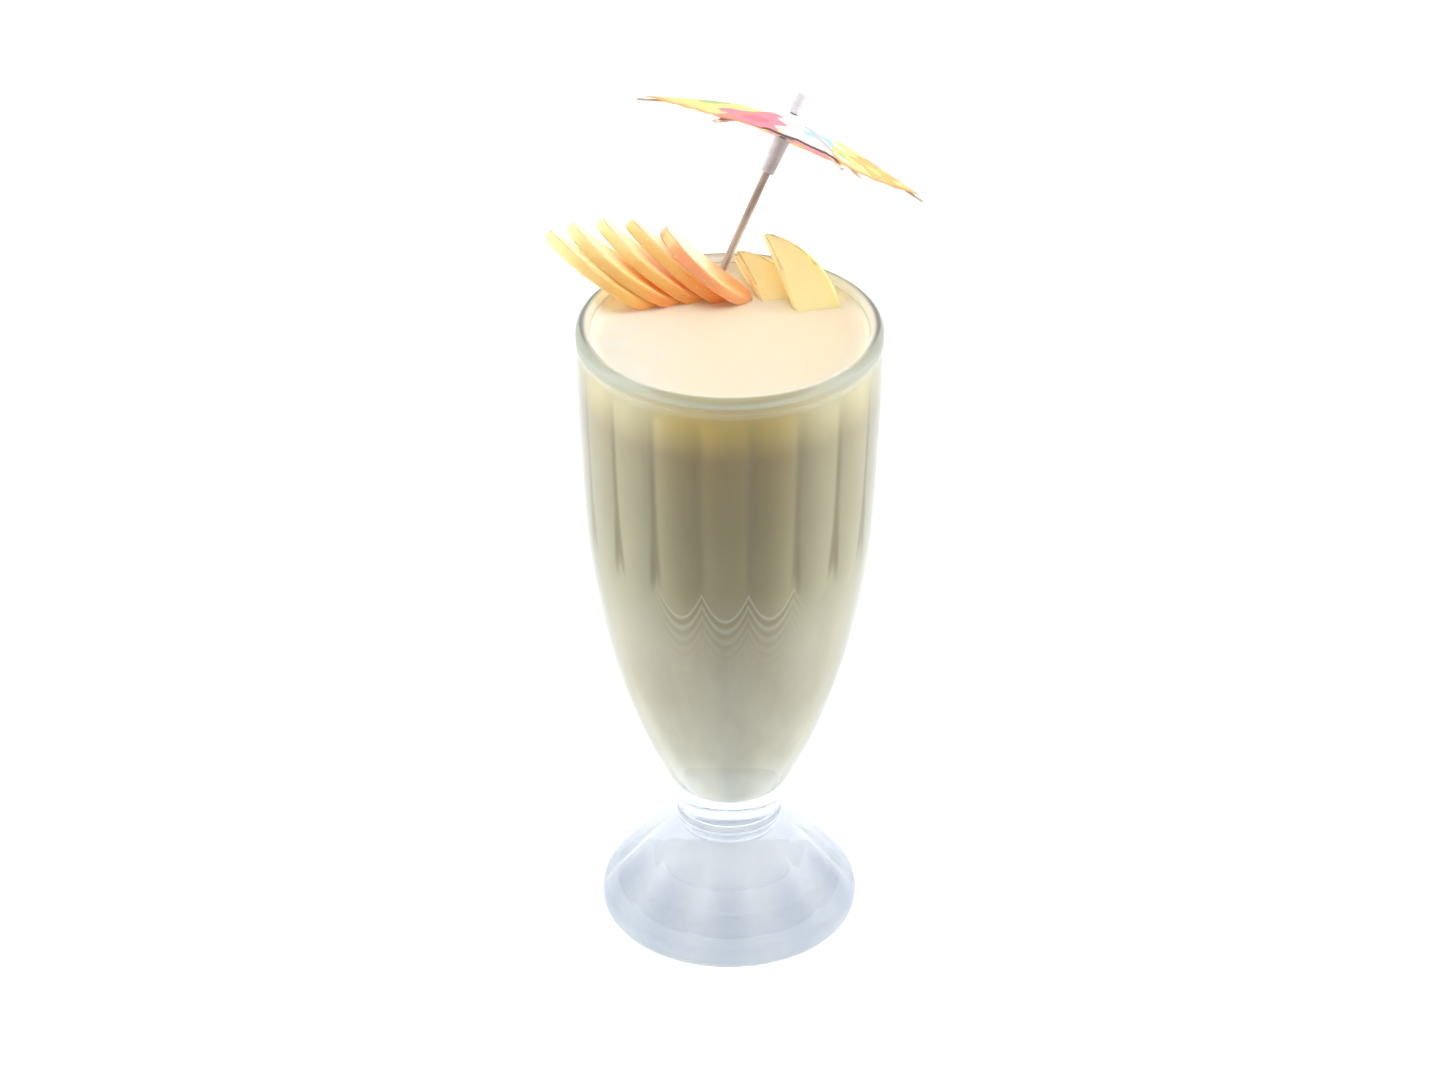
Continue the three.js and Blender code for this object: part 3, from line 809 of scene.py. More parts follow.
@dataclass(frozen=True)
class FloorFinish:
    """A pale tabletop that glows a little, and darkens towards the front for what it lights."""

    pale: Colour = (0.94, 0.94, 0.94, 1.0)
    duller: Colour = (0.9, 0.9, 0.9, 1.0)
    shaded: Colour = (0.5, 0.5, 0.5, 1.0)
    glow: Colour = (0.2, 0.215, 0.225, 1.0)
    far_glow: Colour = (0.88, 0.9, 0.91, 1.0)
    front: Span = (-0.12, -0.4)
    far: Span = (0.8, 1.3)

    def material(self) -> bpy.types.Material:
        """Near-white, with the faintest drift.

        Returns:
            The material.
        """
        graph = Graph("floor")
        place = graph.place()
        across, back, _ = graph.axes(place)
        thrown = graph.out(graph.node("ShaderNodeLightPath"), "Is Diffuse Ray")
        front = thrown * graph.between(back, *self.front)
        far = graph.between(graph.length(across, back), *self.far)
        drift = graph.noise(place, scale=3.0, detail=2.0)
        colour = graph.mix(0.05 * drift, self.pale, self.duller)
        return graph.finish(graph.surface({
            "Base Color": graph.mix(front, colour, self.shaded),
            "Roughness": 0.7,
            "Emission Color": graph.mix(front, graph.mix(far, self.glow, self.far_glow), BLACK),
            "Emission Strength": 1.0,
        }))


# Shapes


def spline(knots: Sequence[Point2], steps: int) -> list[Point2]:
    """A smooth outline through knots, with as many steps between each two.

    Args:
        knots: the points to pass through, in millimetres.
        steps: steps from each knot to the next.

    Returns:
        The outline's points.
    """
    points = [Vector(knot) for knot in knots]
    outline = [knots[0]]
    for i in range(len(points) - 1):
        before = points[max(0, i - 1)]
        start, end = points[i], points[i + 1]
        after = points[min(len(points) - 1, i + 2)]
        handle_out = start + (end - before) / 6
        handle_in = end - (after - start) / 6
        curve = interpolate_bezier(start, handle_out, handle_in, end, steps + 1)
        outline.extend((point[0], point[1]) for point in curve[1:])
    return outline


def arc(centre: Point2, size: float, start: float, end: float, steps: int) -> list[Point2]:
    """Points on an arc, its angles in degrees from the outward direction.

    Args:
        centre: radius and height of the arc's centre.
        size: the arc's own radius.
        start: first angle.
        end: last angle.
        steps: how many steps it takes.

    Returns:
        The arc's points, both ends included.
    """
    angles = [math.radians(start + (end - start) * i / steps) for i in range(steps + 1)]
    return [(centre[0] + size * math.cos(a), centre[1] + size * math.sin(a)) for a in angles]


def revolve(profile: Sequence[Point2], steps: int, start: float = 0.0) -> bmesh.types.BMesh:
    """Spins a profile of radius and height round +Z into a closed shape.

    Args:
        profile: radius and height of each point, in millimetres. Ends on the axis close at a pole.
        steps: steps of the full turn.
        start: turn of the first meridian, in radians from the front towards +X.

    Returns:
        The spun shape, in metres.
    """
    shape = bmesh.new()
    forward = Vector((math.sin(start), -math.cos(start), 0.0))
    points = [shape.verts.new((forward * radius + Vector((0, 0, height))) * MM)
              for radius, height in profile]
    edges = [shape.edges.new(pair) for pair in zip(points, points[1:])]
    bmesh.ops.spin(shape, geom=points + edges, cent=(0, 0, 0), axis=(0, 0, 1), angle=FULL_TURN,
                   steps=steps, use_merge=True)
    bmesh.ops.remove_doubles(shape, verts=shape.verts[:], dist=1e-7)
    bmesh.ops.recalc_face_normals(shape, faces=shape.faces[:])
    return shape


def round_edges(shape: bmesh.types.BMesh, sharper: float, size: float, segments: int) -> None:
    """Rounds a shape's sharp edges.

    Args:
        shape: the shape, in metres.
        sharper: the angle from which an edge is sharp, in degrees.
        size: how far the rounding reaches, in millimetres.
        segments: its steps.
    """
    sharp = [edge for edge in shape.edges if edge.calc_face_angle(0.0) > math.radians(sharper)]
    bmesh.ops.bevel(shape, geom=sharp, offset=size * MM, offset_type="OFFSET", segments=segments,
                    profile=0.5, affect="EDGES", material=-1)


def turn_of(place: Vector) -> float:
    """Turn of a point round +Z, in radians from the front towards +X."""
    return math.atan2(place.x, -place.y)


def sector_place(turn: float, start: float, sectors: int) -> float:
    """Place of a turn in one of a number of equal sectors: -1 and 1 at its sides, 0 at its middle."""
    return 2 * (((turn - start) * sectors / FULL_TURN) % 1.0) - 1


def push_out(shape: bmesh.types.BMesh, change: Callable[[float, float, float], float]) -> None:
    """Moves a spun shape's points away from the axis.

    Args:
        shape: the spun shape, in metres.
        change: the move in millimetres, for a turn, a height and a radius.
    """
    for vertex in shape.verts:
        radius = vertex.co.xy.length
        if radius < 1e-6:
            continue
        moved = change(turn_of(vertex.co), vertex.co.z / MM, radius / MM) * MM
        vertex.co.xy = vertex.co.xy * ((radius + moved) / radius)


def publish(name: str, shape: bmesh.types.BMesh, materials: Sequence[bpy.types.Material],
            replaced: Sequence[str]) -> bpy.types.Object:
    """Turns a shape into a piece of the object.

    Args:
        name: the piece's name.
        shape: its shape, which is used up.
        materials: its materials, in the order of its faces' indices.
        replaced: the CAD nodes that it stands for.

    Returns:
        The piece.
    """
    mesh = bpy.data.meshes.new(name)
    shape.to_mesh(mesh)
    shape.free()
    for material in materials:
        mesh.materials.append(material)
    mesh.polygons.foreach_set("use_smooth", [True] * len(mesh.polygons))
    piece = bpy.data.objects.new(name, mesh)
    bpy.context.scene.collection.objects.link(piece)
    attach(piece, BODY)
    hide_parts(*replaced)
    LOG.info("%s: %d faces", name, len(mesh.polygons))
    return piece


@dataclass
class NodeFrame:
    """Where a CAD node lies: its centre, its axes from longest to shortest, and its extent on each."""

    centre: Vector
    axes: tuple[Vector, Vector, Vector]
    lows: tuple[float, float, float]
    highs: tuple[float, float, float]
    points: np.ndarray

    @classmethod
    def of(cls, node: str) -> "NodeFrame":
        """Measures a node.

        Args:
            node: the CAD node's name.

        Returns:
            Its frame, with the axes forming a right-handed set.
        """
        corners = np.array([vertex.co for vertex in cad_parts[node].data.vertices])
        points = np.unique(corners.round(7), axis=0)
        centre = points.mean(axis=0)
        _, vectors = np.linalg.eigh(np.cov((points - centre).T))
        longest, middle = Vector(vectors[:, 2]), Vector(vectors[:, 1])
        axes = (longest, middle, longest.cross(middle))
        spread = (points - centre) @ np.array(axes).T
        return cls(Vector(centre), axes, tuple(spread.min(axis=0)), tuple(spread.max(axis=0)), points)


def local_frame(origin: Vector, first: Vector, second: Vector) -> Matrix:
    """Matrix that carries a local frame into the part's.

    Args:
        origin: place of the local origin.
        first: direction of the local X.
        second: direction of the local Y.

    Returns:
        The matrix.
    """
    turned = Matrix((first, second, first.cross(second))).transposed().to_4x4()
    turned.translation = origin
    return turned


# Sub-assemblies


@dataclass
class FountainGlass:
    """The footed glass: thick rim, fluted bowl, ringed neck and bell foot. Sizes in millimetres."""

    height: float = 180.0
    rim_radius: float = 39.549
    rim_wall: float = 3.7
    foot: list[Point2] = field(default_factory=lambda: [
        (0, 0), (31.0, 0), (32.6, 0.3), (33.9, 1.3), (34.5, 2.8), (34.55, 4.6), (34.0, 6.4)])
    bell: list[Point2] = field(default_factory=lambda: [
        (34.0, 6.4), (31.5, 10), (26.4, 16), (21.3, 22), (17.6, 24.9), (14.9, 26.6), (13.4, 27.4)])
    ring_centre: Point2 = (11.8, 29.9)
    ring_size: float = 2.5
    ring_turn: Span = (-62, 62)
    outside: list[Point2] = field(default_factory=lambda: [
        (14.0, 33.2), (16.9, 44), (24.6, 62), (31.8, 86), (36.9, 116), (38.85, 150), (39.5, 172)])
    inside: list[Point2] = field(default_factory=lambda: [
        (8.4, 43.2), (11.9, 49.6), (17.6, 60.4), (24.6, 77), (30.1, 98), (32.9, 118), (34.7, 146),
        (35.7, 174)])
    floor: list[Point2] = field(default_factory=lambda: [
        (0, 39.8), (2.9, 39.95), (5.0, 40.4), (7.0, 41.6)])
    floor_margin: float = 0.1
    wall_margin: float = 0.2
    turn_steps: int = 180
    flutes: int = 18
    flute_depth: float = 0.8
    flute_ridge: float = math.radians(8)
    flutes_top: Span = (168.0, 174.0)
    scallop: Span = (112.0, 121.0)
    scallop_curve: float = 0.8
    ripple_depth: float = 0.13
    ripple_pitch: float = 4.4
    ripple_reach: float = 6.0
    ripple_start: float = 1.5
    petals: int = 10
    petal_groove: float = 0.9
    petal_at: float = math.radians(16)
    petal_rise: Span = (4.0, 8.0)
    petal_fall: Span = (22.5, 26.5)
    petal_sharpness: int = 4

    def cavity(self) -> list[Point2]:
        """Profile of the inside, from the middle of its floor up to just under the rim."""
        return [*spline(self.floor, 3), *spline(self.inside, 14)]

    def wall_radius(self, height: float) -> float:
        """Radius of the inside between its flutes, at a height in millimetres."""
        radii, heights = zip(*self.cavity())
        return float(np.interp(height, heights, radii))

    def flute(self, turn: float, height: float) -> float:
        """How far the flutes and the ripples under them are cut into the wall, in millimetres.

        Args:
            turn: turn from the front towards +X, in radians.
            height: height in millimetres.

        Returns:
            The depth of the cut.
        """
        across = 1 - sector_place(turn, self.flute_ridge, self.flutes) ** 2
        low, high = self.scallop
        cut = self.flute_depth * max(0.0, across - (1 - smoothstep(low, high, height)))
        cut *= 1 - smoothstep(*self.flutes_top, height)
        below = low + (high - low) * (1 - self.scallop_curve * across) - height
        if below <= 0:
            return cut
        ripple = self.ripple_depth * math.cos(FULL_TURN * below / self.ripple_pitch)
        return cut + ripple * (math.exp(-below / self.ripple_reach)
                               * smoothstep(0, self.ripple_start, below))

    def groove(self, turn: float, height: float) -> float:
        """How far the creases between the foot's petals are cut in, in millimetres.

        Args:
            turn: turn from the front towards +X, in radians.
            height: height in millimetres.

        Returns:
            The depth of the cut.
        """
        run = smoothstep(*self.petal_rise, height) * (1 - smoothstep(*self.petal_fall, height))
        aside = abs(sector_place(turn, self.petal_at, self.petals))
        return self.petal_groove * aside ** self.petal_sharpness * run

    def pressed(self, turn: float, height: float, radius: float) -> float:
        """How far flutes and petals move a point of the spun glass outwards, in millimetres.

        Args:
            turn: turn from the front towards +X, in radians.
            height: height in millimetres.
            radius: distance from the axis in millimetres.

        Returns:
            The move. It is negative on the foot, and 0 on the smooth outside of the bowl.
        """
        if height < self.ring_centre[1] - self.ring_size:
            return -self.groove(turn, height)
        inside = (height > self.floor[0][1] - self.floor_margin
                  and radius < self.wall_radius(height) + self.wall_margin)
        return self.flute(turn, height) if inside else 0.0

    def build(self, finish: GlassFinish) -> bpy.types.Object:
        """Models the glass and dresses it.

        Args:
            finish: its look.

        Returns:
            The piece.
        """
        rim_size = self.rim_wall / 2
        profile = [
            *self.foot,
            *spline(self.bell, 5)[1:],
            *arc(self.ring_centre, self.ring_size, *self.ring_turn, 10),
            *spline(self.outside, 10),
            *arc((self.rim_radius - rim_size, self.height - rim_size), rim_size, 0, 180, 12),
            *reversed(self.cavity()),
        ]
        shape = revolve(profile, self.turn_steps, self.flute_ridge)
        push_out(shape, self.pressed)
        return publish("fountain_glass", shape, [finish.material()], ["glass"])


@dataclass
class JuiceFill:
    """The juice, which fills the glass to just under its rim. Sizes in millimetres."""

    level: float = 176.5
    into_wall: float = 0.15
    wall_margin: float = 0.1
    wall_end: float = 2.2
    floor_radius: float = 7.0
    climb: float = 2.0
    climb_width: float = 0.45
    top_rings: int = 26
    ring_crowding: float = 2.2
    top_margin: float = 0.2
    even_edge: float = 1.5
    unevenness: float = 0.12
    waves: Span = (90, 260)

    def build(self, glass: FountainGlass, finish: JuiceFinish) -> bpy.types.Object:
        """Models the juice to the glass's inside and dresses it.

        Args:
            glass: the glass that holds it.
            finish: its look.

        Returns:
            The piece.
        """
        wall = [(radius + self.into_wall * min(1.0, radius),
                 height - (self.into_wall if radius < self.floor_radius else 0.0))
                for radius, height in glass.cavity() if height < self.level - self.wall_end]
        edge = glass.wall_radius(self.level) + self.into_wall
        top = []
        for i in range(self.top_rings + 1):
            radius = edge * (1 - (i / self.top_rings) ** self.ring_crowding)
            climbed = self.climb * math.exp(-(edge - radius) / self.climb_width)
            top.append((radius, self.level + climbed))
        shape = revolve([*wall, *top], glass.turn_steps, glass.flute_ridge)

        def follow(turn: float, height: float, radius: float) -> float:
            """The move of the juice's side into the flutes."""
            at_wall = radius > glass.wall_radius(height) - self.wall_margin
            return glass.flute(turn, height) if at_wall else 0.0

        push_out(shape, follow)
        lowest, widest = (self.level - self.top_margin) * MM, (edge - self.even_edge) * MM
        coarse, fine = self.waves
        for vertex in shape.verts:
            if vertex.co.z > lowest and vertex.co.xy.length < widest:
                lift = noise.noise(vertex.co * coarse) + 0.5 * noise.noise(vertex.co * fine)
                vertex.co.z += self.unevenness * lift * MM
        return publish("juice_fill", shape, [finish.material()], ["juice"])


class Cut(Enum):
    """Which of the two groups a slice belongs to."""

    FAN = "fan_slice"
    UPRIGHT = "upright_slice"


@dataclass
class FruitSlice:
    """A half-moon slice, with one straight cut edge and one arc of peel. Sizes in millimetres."""

    cut: Cut
    number: int
    along_steps: int = 56
    across_steps: int = 14
    blunt: float = 0.035
    edge_size: float = 0.7
    edge_steps: int = 3
    sharper: float = 50.0
    peel_tilt: float = 0.8
    peel_start: float = 0.405
    peel_margin: float = 0.1
    unevenness: float = 0.22
    dents: Span = (95, 320)
    dented: tuple[float, float, float] = (0.3, 0.5, 1.0)
    bow: float = 0.5
    tip_thickness: float = 0.82
    tip_length: float = 0.12
    tip_share: float = 0.95

    @property
    def node(self) -> str:
        """Name of the CAD node that the slice stands for."""
        return f"{self.cut.value}_{self.number}"

    def placed(self) -> tuple[Matrix, float, float, float]:
        """Measures the CAD node.

        Returns:
            The matrix of the slice's own frame, with its upper tip at the origin, its chord along X and
            its peel towards Y, and its length, bulge and thickness in metres.
        """
        found = NodeFrame.of(self.node)
        lows, highs = found.lows, found.highs
        along, bulge, face = found.axes
        along_low, bulge_low = lows[0], lows[1]
        spread = (found.points - np.array(found.centre)) @ np.array([along, bulge]).T
        tips = spread[np.abs(spread[:, 0]) > self.tip_share * np.abs(spread[:, 0]).max()]
        if along.z > 0:
            along, along_low = -along, -highs[0]
        if tips[:, 1].mean() >= (lows[1] + highs[1]) / 2:
            bulge, bulge_low = -bulge, -highs[1]
        middle = (lows[2] + highs[2]) / 2
        origin = found.centre + along * along_low + bulge * bulge_low + face * middle
        length, width, thickness = (high - low for low, high in zip(lows, highs))
        return local_frame(origin, along, bulge), length, width, thickness

    def half_moon(self, length: float, bulge: float, thickness: float) -> bmesh.types.BMesh:
        """Shapes a grid into the plain slice, with rounded edges, a UV map and its peel marked.

        Args:
            length: its length in metres.
            bulge: how far the peel stands off the straight edge, in metres.
            thickness: its thickness in metres.

        Returns:
            The slice in its own frame. Faces of the peel have the material index 1.
        """
        radius = (length ** 2 / 4 + bulge ** 2) / (2 * bulge)
        shape = bmesh.new()
        bmesh.ops.create_grid(shape, x_segments=self.along_steps, y_segments=self.across_steps,
                              size=0.5)
        layer = shape.loops.layers.uv.new("slice")
        for face in shape.faces:
            for loop in face.loops:
                loop[layer].uv = (loop.vert.co.x + 0.5, loop.vert.co.y + 0.5)
        for vertex in shape.verts:
            x = (self.blunt / 2 + (1 - self.blunt) * (vertex.co.x + 0.5)) * length
            height = math.sqrt(max(0.0, radius ** 2 - (x - length / 2) ** 2)) - (radius - bulge)
            vertex.co = Vector((x, height * (vertex.co.y + 0.5), 0.0))
        bmesh.ops.solidify(shape, geom=shape.faces[:], thickness=thickness)
        bmesh.ops.recalc_face_normals(shape, faces=shape.faces[:])
        middle = sum(vertex.co.z for vertex in shape.verts) / len(shape.verts)
        bmesh.ops.translate(shape, verts=shape.verts[:], vec=(0, 0, -middle))
        round_edges(shape, self.sharper, self.edge_size, self.edge_steps)
        for face in shape.faces:
            centre = face.calc_center_median()
            outline = bulge * (1 - ((centre.x - length / 2) / (length / 2)) ** 2)
            steep = abs(face.normal.z) < self.peel_tilt
            is_peel = steep and centre.y > self.peel_start * outline + self.peel_margin * MM
            face.material_index = 1 if is_peel else 0
        return shape

    def build(self, finish: FruitFinish) -> bpy.types.Object:
        """Models the slice, thins its tips, makes it uneven and dresses it.

        Args:
            finish: its look.

        Returns:
            The piece.
        """
        place, length, bulge, thickness = self.placed()
        shape = self.half_moon(length, bulge, thickness)
        outer = math.copysign(thickness / 2, -place.col[2].x - place.col[2].z)
        seed = Vector((3.1 * self.number, 7.7 if self.cut is Cut.FAN else 1.3, 0.0))
        bow = self.bow * MM * noise.noise(seed * 2.3)
        coarse, fine = self.dents
        for vertex in shape.verts:
            share = min(max(vertex.co.x / length, 0.0), 1.0)
            full = math.sin(min(1.0, min(share, 1 - share) / self.tip_length) * math.pi / 2)
            taper = self.tip_thickness + (1 - self.tip_thickness) * full
            vertex.co.z = outer + (vertex.co.z - outer) * taper
        for vertex in shape.verts:
            rough = (noise.noise_vector(vertex.co * coarse + seed)
                     + 0.4 * noise.noise_vector(vertex.co * fine + seed))
            bowed = bow * math.sin(math.pi * vertex.co.x / length)
            vertex.co += Vector(self.dented) * rough * self.unevenness * MM
            vertex.co.z += bowed
        bmesh.ops.transform(shape, matrix=place, verts=shape.verts[:])
        materials = [finish.flesh_material(), finish.peel_material()]
        return publish(f"{self.node}_fruit", shape, materials, [self.node])


@dataclass
class Garnish:
    """The fan of slices on the left and the upright group on the right."""

    fan_blush: tuple[float, ...] = (-0.14, 0.02, 0.0, 0.14, 0.0)
    upright_blush: tuple[float, ...] = (-0.3, -0.3, -0.3)

    fan_peel: Stops = stops(
        (0.0, 254, 236, 168), (0.2, 254, 220, 142), (0.36, 252, 200, 118), (0.52, 255, 196, 106),
        (0.68, 255, 178, 92), (0.84, 255, 164, 84), (1.0, 252, 150, 78))
    fan_flesh: Stops = stops(
        (0.0, 255, 248, 214), (0.3, 255, 240, 190), (0.45, 254, 212, 142), (0.58, 252, 186, 102),
        (0.7, 249, 162, 82))
    last_peel: Stops = stops(
        (0.0, 255, 216, 152), (0.14, 254, 178, 122), (0.28, 244, 158, 108), (0.42, 244, 168, 114),
        (0.6, 252, 170, 108), (0.76, 252, 176, 116), (1.0, 244, 184, 134))
    last_flesh: Stops = stops(
        (0.0, 255, 246, 214), (0.34, 255, 236, 192), (0.45, 255, 208, 148), (0.56, 252, 182, 118),
        (0.7, 248, 166, 108))
    upright_peel: Stops = stops((0.0, 240, 226, 146), (0.5, 244, 222, 138), (1.0, 250, 214, 126))
    upright_flesh: Stops = stops((0.0, 255, 229, 165), (0.5, 255, 231, 172), (1.0, 255, 232, 176))

    def fan_finish(self, number: int, blush: float) -> FruitFinish:
        """Finish of one fan slice: yellow at the tip and orange lower down, the last one redder.

        Args:
            number: the slice's number, from 1.
            blush: how far its colours are shifted towards those of the low end.

        Returns:
            The finish.
        """
        last = number == len(self.fan_blush)
        return FruitFinish(
            name=f"fan_{number}",
            peel=self.last_peel if last else self.fan_peel,
            streak=srgb(250, 186, 150),
            flesh=self.last_flesh if last else self.fan_flesh,
            flesh_edge=srgb(254, 206, 146) if last else srgb(255, 226, 160),
            blush=blush,
        )

    def upright_finish(self, number: int, blush: float) -> FruitFinish:
        """Finish of one upright slice: pale yellow with a yellow-green peel.

        Args:
            number: the slice's number, from 1.
            blush: how far its colours are shifted towards those of the low end.

        Returns:
            The finish.
        """
        return FruitFinish(
            name=f"upright_{number}",
            peel=self.upright_peel,
            streak=srgb(244, 232, 168),
            flesh=self.upright_flesh,
            flesh_edge=srgb(254, 230, 154),
            blush=blush,
        )

    def build(self) -> None:
        """Models both groups."""
        for number, blush in enumerate(self.fan_blush, 1):
            FruitSlice(Cut.FAN, number).build(self.fan_finish(number, blush))
        for number, blush in enumerate(self.upright_blush, 1):
            FruitSlice(Cut.UPRIGHT, number).build(self.upright_finish(number, blush))


@dataclass(frozen=True)
class Rib:
    """One of the ribs: its heading and fall in degrees, and the crown of the panel after it."""

    heading: float
    fall: float
    crown: float


@dataclass
class Parasol:
    """The open paper parasol, in its own frame: peak at the origin, pick along Z.

    Sizes are in millimetres. Hub, runner and sleeve are rings, each given by its radius at the low end,
    its radius at the high end, and the heights of both ends.
    """

    ribs: tuple[Rib, ...] = (
        Rib(-8, 7.8, -0.4), Rib(54, 9.4, -0.7), Rib(114, 9.8, 0.6), Rib(177, 17.6, 0.2),
        Rib(243, 12.8, 1.3), Rib(294, 9.2, -0.9))
    radius: float = 38.9
    thickness: float = 0.22
    hole: float = 1.15
    bend: float = 1.25
    scallop: float = 0.04
    pleat: float = 0.22
    pleats: int = 4
    pleat_start: Span = (0.1, 0.5)
    rings: int = 26
    panel_steps: int = 16
    pick_radius: float = 1.0
    above_peak: float = 4.8
    pick_length: float = 100.0
    pick_point: float = 6.0
    pick_tip: Point2 = (0.25, 0.1)
    pick_chamfer: float = 0.2
    cap_radius: float = 1.85
    cap_low: float = 0.2
    cap_height: float = 5.8
    hub: tuple[float, float, float, float] = (3.1, 3.1, -3.35, -1.35)
    runner: tuple[float, float, float, float] = (3.1, 3.1, -6.6, -5.1)
    sleeve: tuple[float, float, float, float] = (1.8, 2.2, -16.8, -6.9)
    play: float = 0.02
    turn_steps: int = 40
    sharper: float = 40.0
    grain_fall: float = -0.15

    def frame(self) -> Matrix:
        """Measures the pick, the canopy and the first rib.

        Returns:
            The matrix of the parasol's own frame.
        """
        pick = NodeFrame.of("parasol_pick")
        up = pick.axes[0] if pick.axes[0].z > 0 else -pick.axes[0]
        canopy = NodeFrame.of("parasol_canopy")
        on_axis = Vector(canopy.points[np.argmax(canopy.points @ np.array(up))])
        peak = pick.centre + up * (on_axis - pick.centre).dot(up)
        rib = NodeFrame.of("parasol_rib_1")
        far = rib.centre - peak
        outward = (far - up * far.dot(up)).normalized()
        across = Matrix.Rotation(math.radians(-self.ribs[0].heading), 3, up) @ outward
        return local_frame(peak, across, up.cross(across))

    def rib_height(self, rib: Rib, share: float) -> float:
        """Height of the paper over a rib, at a share of its length."""
        return -self.radius * math.sin(math.radians(rib.fall)) * share ** self.bend

    def rib_tip(self, rib: Rib) -> Vector:
        """Place of a rib's end, seen along the pick."""
        out, heading = self.radius * math.cos(math.radians(rib.fall)), math.radians(rib.heading)
        return Vector((out * math.cos(heading), out * math.sin(heading)))

    def paper_place(self, turn: float, share: float) -> Vector:
        """Place of the paper, in millimetres.

        Args:
            turn: how many panels round from the first rib, 0 to 6.
            share: share of the way out, 0 to 1.

        Returns:
            The point on the sheet's middle.
        """
        panel = int(turn) % len(self.ribs)
        across = turn - int(turn)
        first, second = self.ribs[panel], self.ribs[(panel + 1) % len(self.ribs)]
        middle = 4 * across * (1 - across)
        flat = self.rib_tip(first).lerp(self.rib_tip(second), across)
        reach = max(share * (1 - self.scallop * middle * share), self.hole / flat.length)
        fall = self.rib_height(first, share) * (1 - across) + self.rib_height(second, share) * across
        folded = self.pleat * (1 - abs(math.cos(math.pi * self.pleats * across)))
        folded *= smoothstep(*self.pleat_start, share)
        height = fall + first.crown * middle * share ** 2 + folded * share
        return Vector((flat.x * reach, flat.y * reach, height))

    def canopy(self, place: Matrix, finish: CanopyFinish) -> bpy.types.Object:
        """Models the paper: a ring of panels from a grid, thickened, with its print's UV map.

        Args:
            place: the parasol's frame.
            finish: the paper's look.

        Returns:
            The piece.
        """
        panels = len(self.ribs)
        columns = panels * self.panel_steps
        shape = bmesh.new()
        bmesh.ops.create_grid(shape, x_segments=columns, y_segments=self.rings, size=0.5)
        layer = shape.loops.layers.uv.new("print")
        low = self.hole / self.radius
        for face in shape.faces:
            for loop in face.loops:
                share = low + (1 - low) * (loop.vert.co.y + 0.5)
                loop[layer].uv = ((loop.vert.co.x + 0.5) * panels, share)
        for vertex in shape.verts:
            turn = (vertex.co.x + 0.5) * panels
            share = low + (1 - low) * (vertex.co.y + 0.5)
            vertex.co = self.paper_place(min(turn, panels - 1e-9), share) * MM
        bmesh.ops.remove_doubles(shape, verts=shape.verts[:], dist=1e-6)
        bmesh.ops.recalc_face_normals(shape, faces=shape.faces[:])
        bmesh.ops.solidify(shape, geom=shape.faces[:], thickness=self.thickness * MM)
        bmesh.ops.recalc_face_normals(shape, faces=shape.faces[:])
        bmesh.ops.transform(shape, matrix=place, verts=shape.verts[:])
        return publish("parasol_paper", shape, [finish.material()], ["parasol_canopy"])

    def turned_piece(self, name: str, profile: Sequence[Point2], place: Matrix,
                     material: bpy.types.Material, node: str,
                     bevelled: float) -> bpy.types.Object:
        """A piece turned round the pick.

        Args:
            name: the piece's name.
            profile: radius and height of its outline, in millimetres.
            place: the parasol's frame.
            material: its material.
            node: the CAD node that it stands for.
            bevelled: size of its rounded edges in millimetres, or 0 for none.

        Returns:
            The piece.
        """
        shape = revolve(profile, self.turn_steps)
        if bevelled:
            round_edges(shape, self.sharper, bevelled, 2)
        bmesh.ops.transform(shape, matrix=place, verts=shape.verts[:])
        return publish(name, shape, [material], [node])

    def stick_outline(self) -> list[Point2]:
        """Outline of the pick: a point below and a chamfer at the top.

        Returns:
            Radius and height of its corners, from the point up.
        """
        low, high, radius = self.above_peak - self.pick_length, self.above_peak, self.pick_radius
        return [(0, low), (self.pick_tip[0], low + self.pick_tip[1]), (radius, low + self.pick_point),
                (radius, high - self.pick_chamfer), (radius - self.pick_chamfer, high), (0, high)]

    def cap_outline(self) -> list[Point2]:
        """Closed outline of the cap, which is hollow over the pick's top.

        Returns:
            Radius and height of its corners.
        """
        inner, roof = self.pick_radius + self.play, self.above_peak + self.play
        outer, low, high = self.cap_radius, self.cap_low, self.cap_height
        return [(inner, low), (outer, low), (outer, high), (0, high), (0, roof), (inner, roof),
                (inner, low)]

    def ring_outline(self, low_radius: float, high_radius: float, low: float,
                     high: float) -> list[Point2]:
        """Closed outline of a ring round the pick."""
        inner = self.pick_radius + self.play
        return [(inner, low), (low_radius, low), (high_radius, high), (inner, high), (inner, low)]

    def dress_ribs(self, place: Matrix) -> None:
        """Gives the CAD's ribs and struts wood with its grain along them.

        Args:
            place: the parasol's frame.
        """
        for number, rib in enumerate(self.ribs, 1):
            heading = math.radians(rib.heading)
            along = place.to_3x3() @ Vector((math.cos(heading), math.sin(heading), self.grain_fall))
            finish = WoodFinish(f"rib_wood_{number}", srgb(228, 214, 190), srgb(186, 164, 136), along)
            wood = finish.material()
            for kind in ("rib", "strut"):
                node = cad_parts[f"parasol_{kind}_{number}"]
                node.material_slots[0].material = wood

